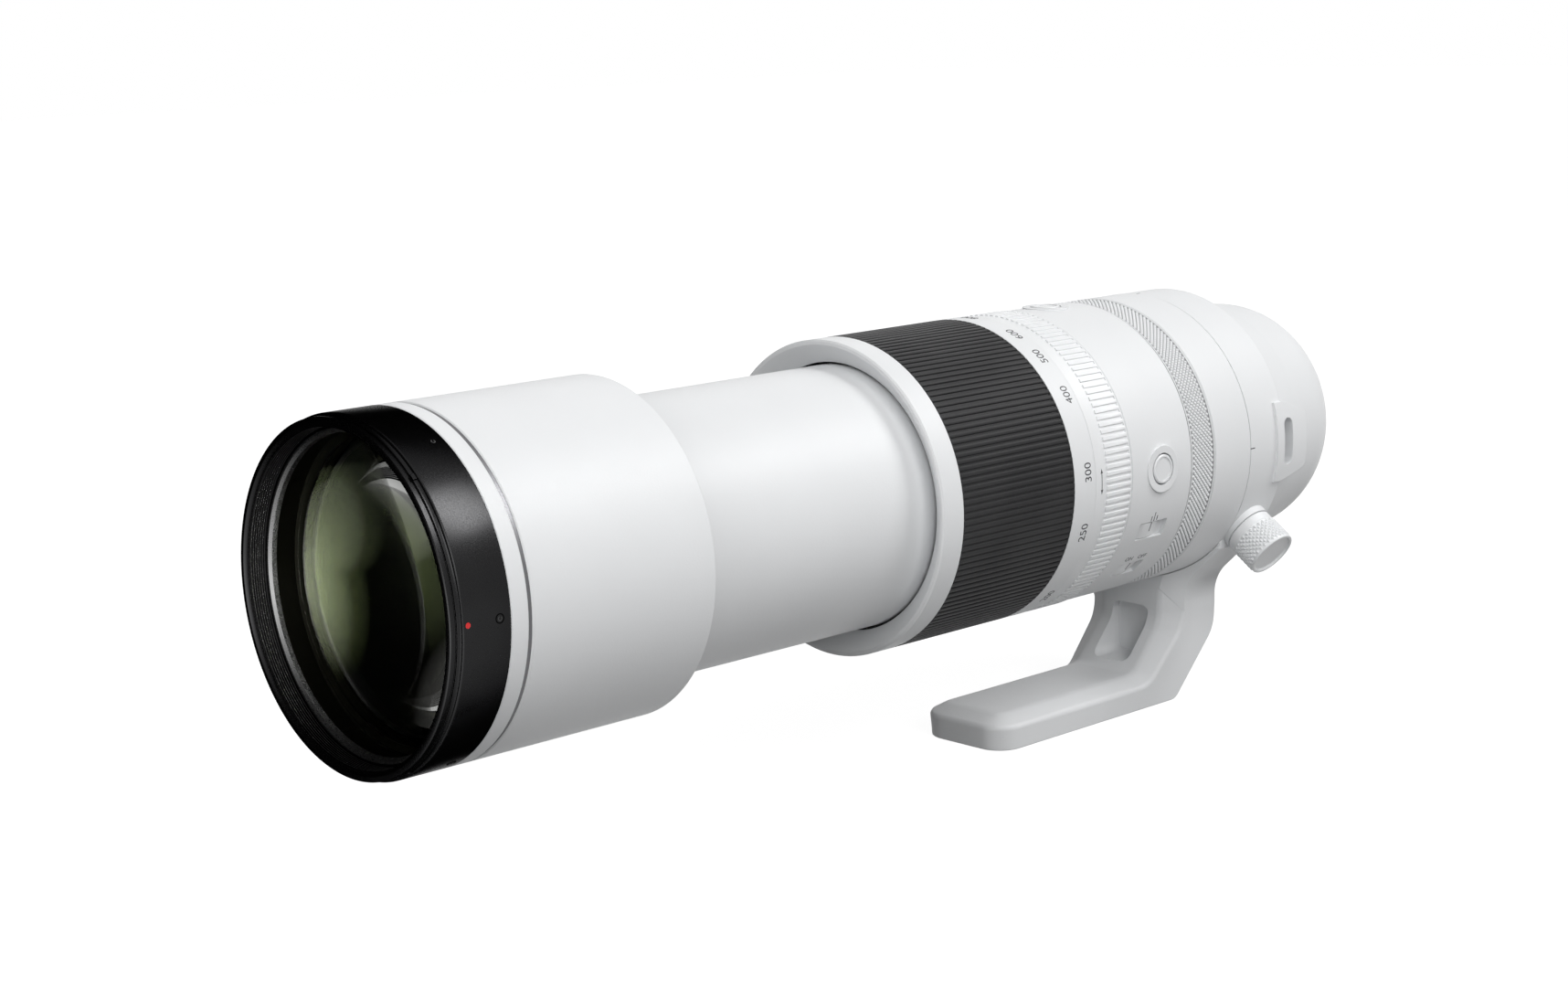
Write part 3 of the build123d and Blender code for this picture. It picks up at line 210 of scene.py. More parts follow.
# Materials. The bores are black inside the first three radii, and the knurl has painted shade: it is grey
# inside the last, down in the valleys between its diamonds
inner_tube_bore = 42.3
zoom_shell_bore = 42.9
front_tube_bore = 50.4
knurl_valley_shade_radius = 50.24
smooth = {"strength": 0.1, "depth": 0.01}
white = (0.79, 0.80, 0.81)
white_paint = {
    "grain": 1700,
    "strength": 0.5,
    "depth": 0.05,
    "edge": 0.3,
    "rough_spread": 0.12,
    "specular": 0.22,
}
materials = {
    "white_barrel": surface("white_paint", white, 0.015, 0.46, **white_paint),
    "white_casting": surface("white_casting_paint", white, 0.015, 0.48, **white_paint),
    "black_plastic": surface(
        "black_satin",
        (0.022, 0.022, 0.0225),
        0.003,
        0.26,
        metallic=1.0,
        edge=0.15,
        edge_tint=0.05,
        **smooth,
    ),
    "grip_rubber": surface(
        "black_rubber",
        (0.026, 0.026, 0.027),
        0.006,
        0.5,
        grain=3000,
        strength=0.35,
        depth=0.03,
        edge=0.1,
        specular=0.12,
    ),
    "button_white": surface(
        "button_plastic", (0.78, 0.79, 0.80), 0.012, 0.4, grain=2400, strength=0.15, depth=0.02, edge=0.3
    ),
    "accent_grey": surface("grey_ring", (0.14, 0.14, 0.145), 0.03, 0.4, metallic=0.9, **smooth),
    "dark_metal": surface(
        "black_anodised", (0.012, 0.012, 0.009), 0.002, 0.4, metallic=1.0, edge_tint=0.1, strength=0.1
    ),
    "bare_metal": surface("bare_aluminium", (0.55, 0.55, 0.56), 0.05, 0.35, metallic=1.0, edge=0.1),
    "steel": surface("steel", (0.5, 0.5, 0.51), 0.05, 0.3, metallic=1.0, edge=0.1),
    "mount_metal": surface("chromed_brass", (0.62, 0.61, 0.6), 0.04, 0.22, metallic=1.0, edge=0.15),
    "contact_gold": surface("gold_contacts", (0.8, 0.58, 0.2), 0.05, 0.25, metallic=1.0),
    "lens_glass": lens_glass("inner_glass", (0.96, 0.97, 0.92), (0.8, 1.0, 0.4), 0.08),
    "board_green": surface("circuit_board", (0.03, 0.14, 0.06), 0.02, 0.4),
}
front_glass_coat = lens_glass("coated_glass", (0.96, 0.97, 0.94), (1.0, 1.0, 0.9), 0.4)
retainer_metal = surface(
    "dark_retainer", (0.14, 0.14, 0.14), 0.02, 0.3, metallic=1.0, strength=0.1, edge=0.15
)
# Painted highlight: a lighter grey for the crests of the filter thread
crest_highlight_metal = surface("painted_crest_highlights", (0.11, 0.11, 0.11), 0.02, 0.35, metallic=1.0, **smooth)
tube_paint = surface("white_tube_paint", white, 0.015, 0.46, dark_inside=inner_tube_bore, **white_paint)
shell_paint = surface("white_shell_paint", white, 0.015, 0.46, dark_inside=zoom_shell_bore, **white_paint)
front_tube_paint = surface(
    "white_front_paint", white, 0.015, 0.46, dark_inside=front_tube_bore, **white_paint
)
knurl_paint = surface("white_knurl_paint", white, 0.015, 0.46, strength=0.2, depth=0.02)
# Painted shade: this paint turns grey inside the valley shade radius, deep between the knurl's diamonds
diamond_paint_with_valley_shade = surface(
    "white_diamond_paint_with_painted_valley_shade",
    white,
    0.015,
    0.46,
    strength=0.2,
    depth=0.02,
    dark_inside=knurl_valley_shade_radius,
    inner_color=(0.3, 0.3, 0.31),
)
# Grey for print, and also painted shade in the zoom ring's gap and in the collar's engraved ticks
print_and_shade_grey = surface("grey_print_and_painted_shade", (0.045, 0.045, 0.05), 0.01, 0.55, **smooth)
# Painted reflection: a lighter grey for the C-shaped glint on each plug's dimple
plug_glint_grey = surface("plug_glint_grey", (0.05, 0.05, 0.05), 0.01, 0.45, metallic=1.0, **smooth)
print_red = surface("red_paint", (0.62, 0.008, 0.01), 0.03, 0.4, **smooth)
# Painted shade: near-black without gloss for the groove round each front plug; it is also the side card's
# black
groove_shade_and_card_black = surface("painted_groove_shade_and_card_black", (0.004, 0.004, 0.004), 0.001, 0.6, specular=0.0, **smooth)


# Every node takes the material of its slot, and five nodes take one of their own
def slot_of(node):
    return next(part["material_slot"] for part in frame["record"]["subparts"] if part["node"] == node)


for name, node in nodes.items():
    node.data.materials.clear()
    node.data.materials.append(materials[slot_of(name)])
for name, paint in (
    ("inner_tube", tube_paint),
    ("zoom_ring_shell", shell_paint),
    ("front_barrel", front_tube_paint),
    ("name_ring", front_tube_paint),
    ("retaining_ring", retainer_metal),
):
    nodes[name].data.materials[0] = paint


# Mesh helpers. Points are in millimetres, and a shape is a pair of points and faces
def add_piece(name, shape, material, body, replaced=(), crease=30):
    """A piece that rides on a body. Edges bent by more than the crease, in degrees, stay sharp."""
    points, faces = shape
    mesh = bpy.data.meshes.new(name)
    mesh.from_pydata([[MM * value for value in point] for point in points], [], faces)
    work = bmesh.new()
    work.from_mesh(mesh)
    bmesh.ops.recalc_face_normals(work, faces=work.faces)
    work.to_mesh(mesh)
    work.free()
    mesh.polygons.foreach_set("use_smooth", [True] * len(mesh.polygons))
    mesh.set_sharp_from_angle(angle=math.radians(crease))
    mesh.materials.append(material)
    piece = add_object(name, mesh)
    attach(piece, body)
    if replaced:
        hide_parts(*replaced)


def on_barrel(share, along, radius):
    """A point on a surface turned round the optical axis; share is the part of a full turn from +X."""
    turn = math.tau * share
    return (radius * math.cos(turn), along, radius * math.sin(turn))


def stitch(faces, first, second):
    """Faces between two loops of points. A loop of one point is a pole."""
    count = max(len(first), len(second))
    for index in range(count):
        after = index + 1
        corners = [
            first[index % len(first)],
            first[after % len(first)],
            second[after % len(second)],
            second[index % len(second)],
        ]
        faces.append(list(dict.fromkeys(corners)))


def ring_faces(total, size):
    """Faces of a closed ring whose points come in loops of one size."""
    loops = [list(range(start, start + size)) for start in range(0, total, size)]
    faces = []
    for first, second in zip(loops, loops[1:] + loops[:1]):
        stitch(faces, first, second)
    return faces


def turned(profile, count):
    """A closed ring from a closed profile of (y, radius) points."""
    points = [on_barrel(index / count, y, radius) for y, radius in profile for index in range(count)]
    return points, ring_faces(len(points), count)


def ribbed(stations, bore_ends, phases, count):
    """A closed ring with ribs along it. A station is (y, radius on a rib, radius in a groove) and a phase
    is (place in the pitch, share of the groove's depth)."""
    bore_stations = [(y, radius, radius) for y, radius in bore_ends]
    points = [
        on_barrel((rib + phase) / count, y, top + (floor - top) * depth)
        for y, top, floor in stations + bore_stations
        for rib in range(count)
        for phase, depth in phases
    ]
    return points, ring_faces(len(points), count * len(phases))


def knurled(place, start, end, radii, columns, rows, top_share, after, before):
    """A turned body with a diamond knurl between two stations. The profile goes on through the points of
    after, from the knurl's end, and comes back through those of before, to its start. A radius of 0 is a
    pole; without one the profile closes on itself."""
    floor, top = radii
    steps = 2 * columns
    pitch = (end - start) / rows
    points, faces, valley = [], [], {}
    for row in range(rows + 1):
        for step in range(row % 2, steps, 2):
            valley[step, row] = len(points)
            points.append(place(step / steps, start + row * pitch, floor))
    for row in range(rows + 1):
        for step in range((row + 1) % 2, steps, 2):
            sides = [(step - 1, row), (step, row - 1), (step + 1, row), (step, row + 1)]
            sides = [side for side in sides if 0 <= side[1] <= rows]
            corners = [valley[side[0] % steps, side[1]] for side in sides]
            if len(corners) < 4:
                faces.append(corners)
                continue
            crown = []
            for side in sides:
                across = step + top_share * (side[0] - step)
                along = row + top_share * (side[1] - row)
                crown.append(len(points))
                points.append(place(across / steps, start + along * pitch, top))
            faces.append(crown)
            stitch(faces, corners, crown)
    loops = [[valley[step, rows] for step in range(rows % 2, steps, 2)]]
    for along, radius in after + before:
        count = columns if radius else 1
        loops.append(list(range(len(points), len(points) + count)))
        points.extend(place(index / columns, along, radius) for index in range(count))
    loops.append([valley[step, 0] for step in range(0, steps, 2)])
    for first, second in zip(loops, loops[1:]):
        if len(first) > 1 or len(second) > 1:
            stitch(faces, first, second)
    return points, faces


def wrap(angle, y, radius, reading):
    """A way to lay flat (u, v, height) marks on the barrel. Reading is "round" where the words run round
    the barrel with their tops to the front, and "along" where they run to the rear."""

    def lay(u, v, height):
        if reading == "round":
            return on_barrel(angle / 360 + u / radius / math.tau, y - v, radius + height)
        return on_barrel(angle / 360 + v / radius / math.tau, y + u, radius + height)

    return lay


def strip(shape, line, width, lay, low, high, closed=False):
    """Adds a raised line of even width that follows a flat path to a shape."""
    points, faces = shape
    count = len(line)
    loops = []
    for index, (u, v) in enumerate(line):
        if closed:
            before, after = line[index - 1], line[(index + 1) % count]
        else:
            before, after = line[max(index - 1, 0)], line[min(index + 1, count - 1)]
        du, dv = after[0] - before[0], after[1] - before[1]
        reach = width / 2 / math.hypot(du, dv)
        loop = []
        for side, height in ((1, low), (1, high), (-1, high), (-1, low)):
            loop.append(len(points))
            points.append(lay(u - side * dv * reach, v + side * du * reach, height))
        loops.append(loop)
    for first, second in zip(loops, loops[1:] + (loops[:1] if closed else [])):
        stitch(faces, first, second)
    if not closed:
        faces.extend([loops[0], loops[-1]])


def plate(shape, outline, lay, low, high):
    """Adds a raised patch with a flat outline to a shape."""
    points, faces = shape
    loops = []
    for height in (low, high):
        loops.append(list(range(len(points), len(points) + len(outline))))
        points.extend(lay(u, v, height) for u, v in outline)
    stitch(faces, *loops)
    faces.extend(loops)


def arc(radius, start, end, count):
    """Points on a flat arc from one angle to another, in degrees."""
    turns = [math.radians(start + (end - start) * index / count) for index in range(count + 1)]
    return [(radius * math.cos(turn), radius * math.sin(turn)) for turn in turns]


def circle(radius):
    """A flat outline of 24 points."""
    return arc(radius, 0, 345, 23)


def merge(shape, extra):
    """Adds the points and faces of another shape to a shape."""
    points, faces = shape
    start = len(points)
    points.extend(extra[0])
    faces.extend([start + corner for corner in face] for face in extra[1])


def letters(shape, text, height, lay):
    """Adds raised plain characters, centred, to a shape."""
    thickness = 0.07
    curve = bpy.data.curves.new("characters", "FONT")
    curve.body = text
    curve.extrude = 0.5
    curve.resolution_u = 5
    holder = bpy.data.objects.new("characters", curve)
    mesh = bpy.data.meshes.new_from_object(holder)
    reach = [[point.co[axis] for point in mesh.vertices] for axis in range(2)]
    scale = height / (max(reach[1]) - min(reach[1]))
    middle = [(max(side) + min(side)) / 2 for side in reach]
    points = []
    for point in mesh.vertices:
        u, v = (scale * (point.co[axis] - middle[axis]) for axis in range(2))
        points.append(lay(u, v, thickness * point.co.z))
    merge(shape, (points, [polygon.vertices for polygon in mesh.polygons]))
    bpy.data.objects.remove(holder)
    bpy.data.meshes.remove(mesh)
    bpy.data.curves.remove(curve)


def crowned_block(profile, half_width, lay, low):
    """A block that follows the barrel across, with its top heights given along it."""
    points, faces, loops = [], [], []
    across = ((-1, False), (-1, True), (0, True), (1, True), (1, False), (0, False))
    for u, high in profile:
        loops.append(list(range(len(points), len(points) + len(across))))
        points.extend(lay(u, side * half_width, high if on_top else low) for side, on_top in across)
    for first, second in zip(loops, loops[1:]):
        stitch(faces, first, second)
    faces.extend([loops[0], loops[-1]])
    return points, faces


def lens_shape(edge_front, edge_rear, radius, front_sag, rear_sag, count=144, rings=28):
    """A round glass. A positive sag bulges away from its middle."""
    points, faces, loops = [], [], []
    for edge, sag, side in ((edge_front, front_sag, -1), (edge_rear, rear_sag, 1)):
        curve = (radius**2 + sag**2) / (2 * sag)
        half = []
        for ring_index in range(rings + 1):
            reach = radius * ring_index / rings
            fall = curve - math.copysign(math.sqrt(curve**2 - reach**2), curve)
            size = count if ring_index else 1
            half.append(list(range(len(points), len(points) + size)))
            along = edge + side * (sag - fall)
            points.extend(on_barrel(index / count, along, reach) for index in range(size))
        loops += half if side < 0 else half[::-1]
    for first, second in zip(loops, loops[1:]):
        stitch(faces, first, second)
    return points, faces


# Front glasses. Their inner curves are set by the reflections
glass_depth = 15.6
glass_thickness = 6.0
glass_radius = 46.4
glass_gap = 3.2
second_thickness = 9.0
second_radius = 44.2
glass_front = span("front_ring")[0] + glass_depth
glass_rear = glass_front + glass_thickness
add_piece(
    "front_glass_dome",
    lens_shape(glass_front, glass_rear, glass_radius, front_sag=6.4, rear_sag=9.0),
    front_glass_coat,
    "inner_barrel",
    ("front_glass",),
)
second_front = glass_rear + glass_gap
second_rear = second_front + second_thickness
add_piece(
    "second_glass_dome",
    lens_shape(second_front, second_rear, second_radius, front_sag=-6.6, rear_sag=8.0),
    materials["lens_glass"],
    "inner_barrel",
    ("second_glass",),
)

# Rubber grip: ribs with rounded crowns and grooves that run out just before the ends
grip_front, grip_rear = span("zoom_grip")
grip_floor = zoom_radius - 0.55
grip_middle = 17
grip_stations = [
    (grip_front, zoom_radius - 0.2, zoom_radius - 0.2),
    (grip_front + 0.2, zoom_radius, zoom_radius - 0.08),
    (grip_front + 0.45, zoom_radius, zoom_radius - 0.15),
    (grip_front + 0.7, zoom_radius, grip_floor),
    (grip_front + grip_middle, zoom_radius, grip_floor),
    (grip_rear - grip_middle, zoom_radius, grip_floor),
    (grip_rear - 0.7, zoom_radius, grip_floor),
    (grip_rear - 0.45, zoom_radius, zoom_radius - 0.15),
    (grip_rear - 0.2, zoom_radius, zoom_radius - 0.08),
    (grip_rear, zoom_radius - 0.2, zoom_radius - 0.2),
]
grip_bore_radius = 49.45
grip_bore = [(grip_rear, grip_bore_radius), (grip_front, grip_bore_radius)]
grip_phases = [(-0.11, 1), (0.11, 1), (0.19, 0.25), (0.28, 0.04), (0.5, 0), (0.72, 0.04), (0.81, 0.25)]
add_piece(
    "grip_rubber_ribs",
    ribbed(grip_stations, grip_bore, grip_phases, count=150),
    materials["grip_rubber"],
    "zoom_ring",
    ("zoom_grip",),
)

# Tension ring: a plain front band, then raised bars that join a raised rear band
tension_front, tension_rear = span("tension_ring")
pad_front = tension_front + 5.5
pad_rear = pad_front + 11.9
bar_radius = barrel_radius + 0.35
pad_floor = bar_radius - 0.45
tension_stations = [
    (tension_front, pad_floor - 0.25, pad_floor - 0.25),
    (tension_front + 0.25, pad_floor, pad_floor),
    (pad_front, pad_floor, pad_floor),
    (pad_front + 0.12, bar_radius, pad_floor),
    (pad_rear - 0.12, bar_radius, pad_floor),
    (pad_rear, bar_radius, bar_radius),
    (tension_rear - 0.3, bar_radius, bar_radius),
    (tension_rear, bar_radius - 0.3, bar_radius - 0.3),
]
pad_phases = [(-0.24, 0), (0.24, 0), (0.27, 0.15), (0.31, 1), (0.5, 1), (0.69, 1), (0.73, 0.15)]
tension_bore = [(tension_rear, ring_bore_radius), (tension_front, ring_bore_radius)]
add_piece(
    "tension_ring_pads",
    ribbed(tension_stations, tension_bore, pad_phases, count=138),
    knurl_paint,
    "tension_ring",
    ("tension_ring",),
)

# Control ring with a fine diamond knurl
control_front, control_rear = span("control_ring")
knurl_margin = 0.4
knurl_floor = barrel_radius - 0.5
knurl_rim = barrel_radius - 0.1
rim_edge = barrel_radius - 0.25
add_piece(
    "control_ring_knurl",
    knurled(
        on_barrel,
        control_front + knurl_margin,
        control_rear - knurl_margin,
        (knurl_floor, barrel_radius),
        columns=180,
        rows=13,
        top_share=0.4,
        after=[
            (control_rear - 0.35, knurl_rim),
            (control_rear - 0.1, knurl_rim),
            (control_rear, rim_edge),
            (control_rear, ring_bore_radius),
        ],
        before=[
            (control_front, ring_bore_radius),
            (control_front, rim_edge),
            (control_front + 0.1, knurl_rim),
            (control_front + 0.35, knurl_rim),
        ],
    ),
    diamond_paint_with_valley_shade,
    "control_ring",
    ("control_ring",),
    crease=12,
)

# Lock knob with a coarser knurl and a dished end
knob_turn = math.radians(-36)
knob_y = -56.5
knob_base = 52.3
knob_radius = 9.1
knob_length = 13.0
knob_floor = knob_length - 0.9
knob_bore_radius = 3.05
knob_bore_depth = 8.0
knob_knurl_start, knob_knurl_end = 3.3, 12.2


def on_knob(share, along, radius):
    """A point on a surface turned round the knob's axis, along it from the knob's base."""
    outwards = Vector((math.cos(knob_turn), 0, math.sin(knob_turn)))
    across = Vector((0, 1, 0))
    turn = math.tau * share
    side = across * math.cos(turn) + outwards.cross(across) * math.sin(turn)
    return tuple(Vector((0, knob_y, 0)) + outwards * (knob_base + along) + side * radius)


add_piece(
    "lock_knob_knurl",
    knurled(
        on_knob,
        knob_knurl_start,
        knob_knurl_end,
        (knob_radius - 0.55, knob_radius),
        columns=30,
        rows=10,
        top_share=0.28,
        after=[
            (12.25, knob_radius - 0.25),
            (knob_length - 0.35, knob_radius - 0.25),
            (knob_length - 0.08, knob_radius - 0.4),
            (knob_length, knob_radius - 0.65),
            (knob_length, knob_radius - 1.1),
            (knob_length - 0.15, knob_radius - 1.3),
            (knob_length - 0.75, knob_radius - 1.5),
            (knob_floor, knob_radius - 1.9),
            (knob_floor, 0),
        ],
        before=[
            (knob_bore_depth, 0),
            (knob_bore_depth, knob_bore_radius),
            (0, knob_bore_radius),
            (0, knob_radius - 0.6),
            (0.35, knob_radius - 0.3),
            (2.9, knob_radius - 0.3),
        ],
    ),
    knurl_paint,
    "lock_knob",
    ("lock_knob",),
    crease=14,
)

# Black front ring: hood recess and groove outside, filter thread inside
front, front_ring_rear = span("front_ring")
front_segments = 240
thread_radius = front_radius - 3.65
thread_pitch = 0.75
thread_turns = 7
thread_root_radius = thread_radius + 0.4
thread_starts = [front + 6.35 - turn * thread_pitch for turn in range(thread_turns)]
thread_profile = []
for start in thread_starts:
    thread_profile.extend(
        [
            (start, thread_radius),
            (start - 0.12, thread_radius),
            (start - 0.4, thread_root_radius),
            (start - 0.5, thread_root_radius),
        ]
    )
hood_radius = 50.37
hood_groove_radius = 49.9
cell_radius = 48.9
cell_front = front + 8.9
seat_radius = 46.7
seat_front = front + 6.5
front_profile = [
    (front, 48.75),
    (front, 49.85),
    (front + 0.1, 50.15),
    (front + 0.35, hood_radius),
    (front + 1.3, hood_radius),
    (front + 1.36, hood_groove_radius),
    (front + 2.34, hood_groove_radius),
    (front + 2.4, hood_radius),
    (front + 3.4, hood_radius),
    (front + 3.58, hood_radius + 0.09),
    (front + 3.62, front_radius - 0.3),
    (front + 3.74, front_radius - 0.09),
    (front + 3.95, front_radius),
    (front + 4.3, front_radius),
    (front_ring_rear - 0.35, front_radius),
    (front_ring_rear - 0.1, front_radius - 0.06),
    (front_ring_rear, front_radius - 0.25),
    (front_ring_rear, cell_radius),
    (cell_front, cell_radius),
    (cell_front, seat_radius),
    (seat_front, seat_radius),
    (seat_front, thread_radius),
    *thread_profile,
    (front + 0.9, thread_radius),
    (front + 0.8, 47.9),
    (front + 0.3, 48.5),
]
add_piece(
    "front_ring_body",
    turned(front_profile, front_segments),
    materials["black_plastic"],
    "inner_barrel",
    ("front_ring",),
)

# Painted highlights: lighter grey strips on the crests of the filter thread
crests = ([], [])
for start in thread_starts:
    low, high = thread_radius - 0.04, thread_radius + 0.05
    crest_profile = [(start, low), (start, high), (start - 0.14, high), (start - 0.14, low)]
    merge(crests, turned(crest_profile, front_segments))
add_piece("front_thread_crests", crests, crest_highlight_metal, "inner_barrel")

# Marks of the front ring: one red dot, six small plugs drawn as a ring of painted shade with a painted
# glint inside, and the hood's stops
mark_low, mark_high = -0.1, 0.04
raised_high = 0.05
dot_y, plug_y, stop_y = -398.4, -388.1, front + 3.0
red_dot = ([], [])
plate(red_dot, circle(0.8), wrap(0, dot_y, front_radius, "round"), -0.3, mark_high)
add_piece("front_red_dot", red_dot, print_red, "inner_barrel")
# Painted shade: a black ring round each plug stands for the shade in its groove
plug_groove_shade = ([], [])
# Painted reflections: a grey C-shaped arc inside each ring stands for the glint on the plug's dimple
plug_glints = ([], [])
for index in range(6):
    lay = wrap(60 * index, plug_y, front_radius, "round")
    strip(plug_groove_shade, circle(1.25), 0.3, lay, mark_low, raised_high, closed=True)
    strip(plug_glints, arc(0.55, 20, 320, 16), 0.28, lay, mark_low, raised_high)
add_piece("front_plug_painted_groove_shade", plug_groove_shade, groove_shade_and_card_black, "inner_barrel")
add_piece("front_plug_painted_glints", plug_glints, plug_glint_grey, "inner_barrel")
hood_stops = ([], [])
stop_outline = [(-0.9, -0.55), (0.9, -0.55), (0.9, 0.5), (0.4, 0.75), (-0.9, 0.75)]
for angle in (48, -62, 168):
    plate(hood_stops, stop_outline, wrap(angle, stop_y, hood_radius, "round"), -0.2, 0.4)
add_piece("front_hood_stops", hood_stops, materials["black_plastic"], "inner_barrel")

# Scale of plain focal lengths, with the angle of each number
scale_marks = (
    (-50, "200"),
    (-18, "250"),
    (5, "300"),
    (34.5, "400"),
    (52.7, "500"),
    (67.1, "600"),
    (90, "800"),
)
scale_y = -152.0
number_height = 3.1
numbers = ([], [])
for angle, text in scale_marks:
    letters(numbers, text, number_height, wrap(angle, scale_y, zoom_radius, "round"))
add_piece("scale_numbers", numbers, print_and_shade_grey, "zoom_ring")

# Painted shade: a dark ring put in the gap behind the zoom ring, and the double arrow of the tension ring
zoom_end = span("zoom_ring_shell")[1]
gap_shade_front, gap_shade_rear = zoom_end - 0.05, zoom_end + 0.24
gap_shade_bore, gap_shade_radius = 49.2, 50.45
gap_shade_profile = [
    (gap_shade_front, gap_shade_bore),
    (gap_shade_rear, gap_shade_bore),
    (gap_shade_rear, gap_shade_radius),
    (gap_shade_front, gap_shade_radius),
]
add_piece("zoom_gap_painted_shade_ring", turned(gap_shade_profile, 180), print_and_shade_grey, "zoom_ring")
arrow_y = -144.8
arrow = ([], [])
arrow_lay = wrap(0.25, arrow_y, pad_floor, "round")
strip(arrow, [(-3.6 + 0.72 * index, 0) for index in range(11)], 0.28, arrow_lay, mark_low, mark_high)
for side in (-1, 1):
    head = [(4.2 * side, 0), (2.6 * side, 0.55), (2.9 * side, 0), (2.6 * side, -0.55)]
    plate(arrow, head, arrow_lay, mark_low, raised_high)
add_piece("tension_arrow", arrow, print_and_shade_grey, "tension_ring")

# Switch sliders: low white blocks with a flat crown, sloped ends and an index line
slider_half_width = 3.0
slider_low = -1.35
slider_profile = [
    (0.0, -1.0),
    (0.15, -0.75),
    (1.9, -0.2),
    (2.2, -0.12),
    (6.1, -0.12),
    (6.4, -0.2),
    (9.45, -0.85),
    (9.6, -1.0),
]
for name, angle, index_y in (("mode_slider", -24.55, -115.4), ("stabilizer_slider", -44.75, -115.5)):
    slider_front = span(name)[0]
    lay = wrap(angle, slider_front, barrel_radius, "along")
    block = crowned_block(slider_profile, slider_half_width, lay, slider_low)
    add_piece(name + "_block", block, materials["button_white"], name, (name,))
    index_line = ([], [])
    index_path = [(index_y - slider_front, v) for v in (-0.5, 1.2, 2.9)]
    strip(index_line, index_path, 0.34, lay, -0.3, -0.08)
    add_piece(name + "_index", index_line, print_and_shade_grey, name)

# Marks of the main barrel: three bars over the mode switch and two words over the stabilizer switch
marks = ([], [])
for angle_from, angle_to, y in ((-20.5, -18.5, -116.2), (-20.7, -17.0, -114.8), (-20.5, -18.5, -113.4)):
    lay = wrap((angle_from + angle_to) / 2, y, barrel_radius, "along")
    half = math.radians(angle_to - angle_from) * barrel_radius / 2
    strip(marks, [(0, -half), (0, half)], 0.32, lay, mark_low, mark_high)
word_height = 1.75
for word, y in (("ON", -118.5), ("OFF", -111.7)):
    letters(marks, word, word_height, wrap(-38.2, y, barrel_radius, "along"))
add_piece("switch_marks", marks, print_and_shade_grey, "barrel")

# Ticks of the tripod collar: grey strips that paint the shade of engraved ticks
collar_radius = barrel_radius - 0.15
tick_y, tick_half, tick_width = -64.7, 1.15, 0.35
ticks = ([], [])
for angle in (0, 90, 180):
    lay = wrap(angle, tick_y, collar_radius, "along")
    strip(ticks, [(-tick_half, 0), (tick_half, 0)], tick_width, lay, mark_low, mark_high)
add_piece("collar_ticks", ticks, print_and_shade_grey, "tripod_collar")


# Stage: a pale floor under the foot and plain soft light
floor_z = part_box("tripod_collar")[0].z


def background_rays(tree):
    """1 for camera, mirror and glass rays, which see the white background, and 0 for the rest."""
    rays = tree.nodes.new("ShaderNodeLightPath")
    total = rays.outputs["Is Camera Ray"]
    for name in ("Is Glossy Ray", "Is Transmission Ray"):
        total = math_node(tree, "MAXIMUM", total, rays.outputs[name])
    return total


def make_floor():
    """A floor that keeps the shadow and turns to white with the distance from the lens, by a painted glow
    that grows with that distance.
    """
    half = 6.0
    glow_from, glow_to = 0.4, 1.3
    mesh = bpy.data.meshes.new("floor")
    corners = [(x * half, y * half, floor_z) for x, y in ((-1, -1), (1, -1), (1, 1), (-1, 1))]
    mesh.from_pydata(corners, [], [(0, 1, 2, 3)])
    floor = add_object("floor", mesh)
    material, tree, shader = new_material("pale_floor")
    grain = noise(tree, 60, 2.0)
    tone = mix_colors(tree, grain.outputs["Fac"], (0.26, 0.26, 0.26), (0.25, 0.25, 0.25))
    tree.links.new(tone, shader.inputs["Base Color"])
    shader.inputs["Roughness"].default_value = 0.9
    shader.inputs["Specular IOR Level"].default_value = 0.0
    glow = tree.nodes.new("ShaderNodeEmission")
    # Painted light: the floor's glow grows with the distance from the lens, where the lamps light it less
    reach = distance_from(tree, (0, -0.2, floor_z))
    painted_floor_glow = ramp(tree, reach, 0.93, 1.0, glow_from, glow_to)
    strength = math_node(tree, "MULTIPLY", background_rays(tree), painted_floor_glow)
    tree.links.new(strength, glow.inputs["Strength"])
    total = tree.nodes.new("ShaderNodeAddShader")
    tree.links.new(shader.outputs["BSDF"], total.inputs[0])
    tree.links.new(glow.outputs["Emission"], total.inputs[1])
    tree.links.new(total.outputs["Shader"], tree.nodes["Material Output"].inputs["Surface"])
    mesh.materials.append(material)


def make_world():
    """A white backdrop, which lights the lens only faintly."""
    world = bpy.data.worlds.new("studio")
    bpy.context.scene.world = world
    world.use_nodes = True
    tree = world.node_tree
    ambient = tree.nodes["Background"]
    ambient.inputs["Color"].default_value = (1, 1, 1, 1)
    ambient.inputs["Strength"].default_value = 0.08
    backdrop = tree.nodes.new("ShaderNodeBackground")
    backdrop.inputs["Color"].default_value = (1, 1, 1, 1)
    backdrop.inputs["Strength"].default_value = 1.0
    choose = tree.nodes.new("ShaderNodeMixShader")
    tree.links.new(background_rays(tree), choose.inputs["Fac"])
    tree.links.new(ambient.outputs["Background"], choose.inputs[1])
    tree.links.new(backdrop.outputs["Background"], choose.inputs[2])
    tree.links.new(choose.outputs["Shader"], tree.nodes["World Output"].inputs["Surface"])


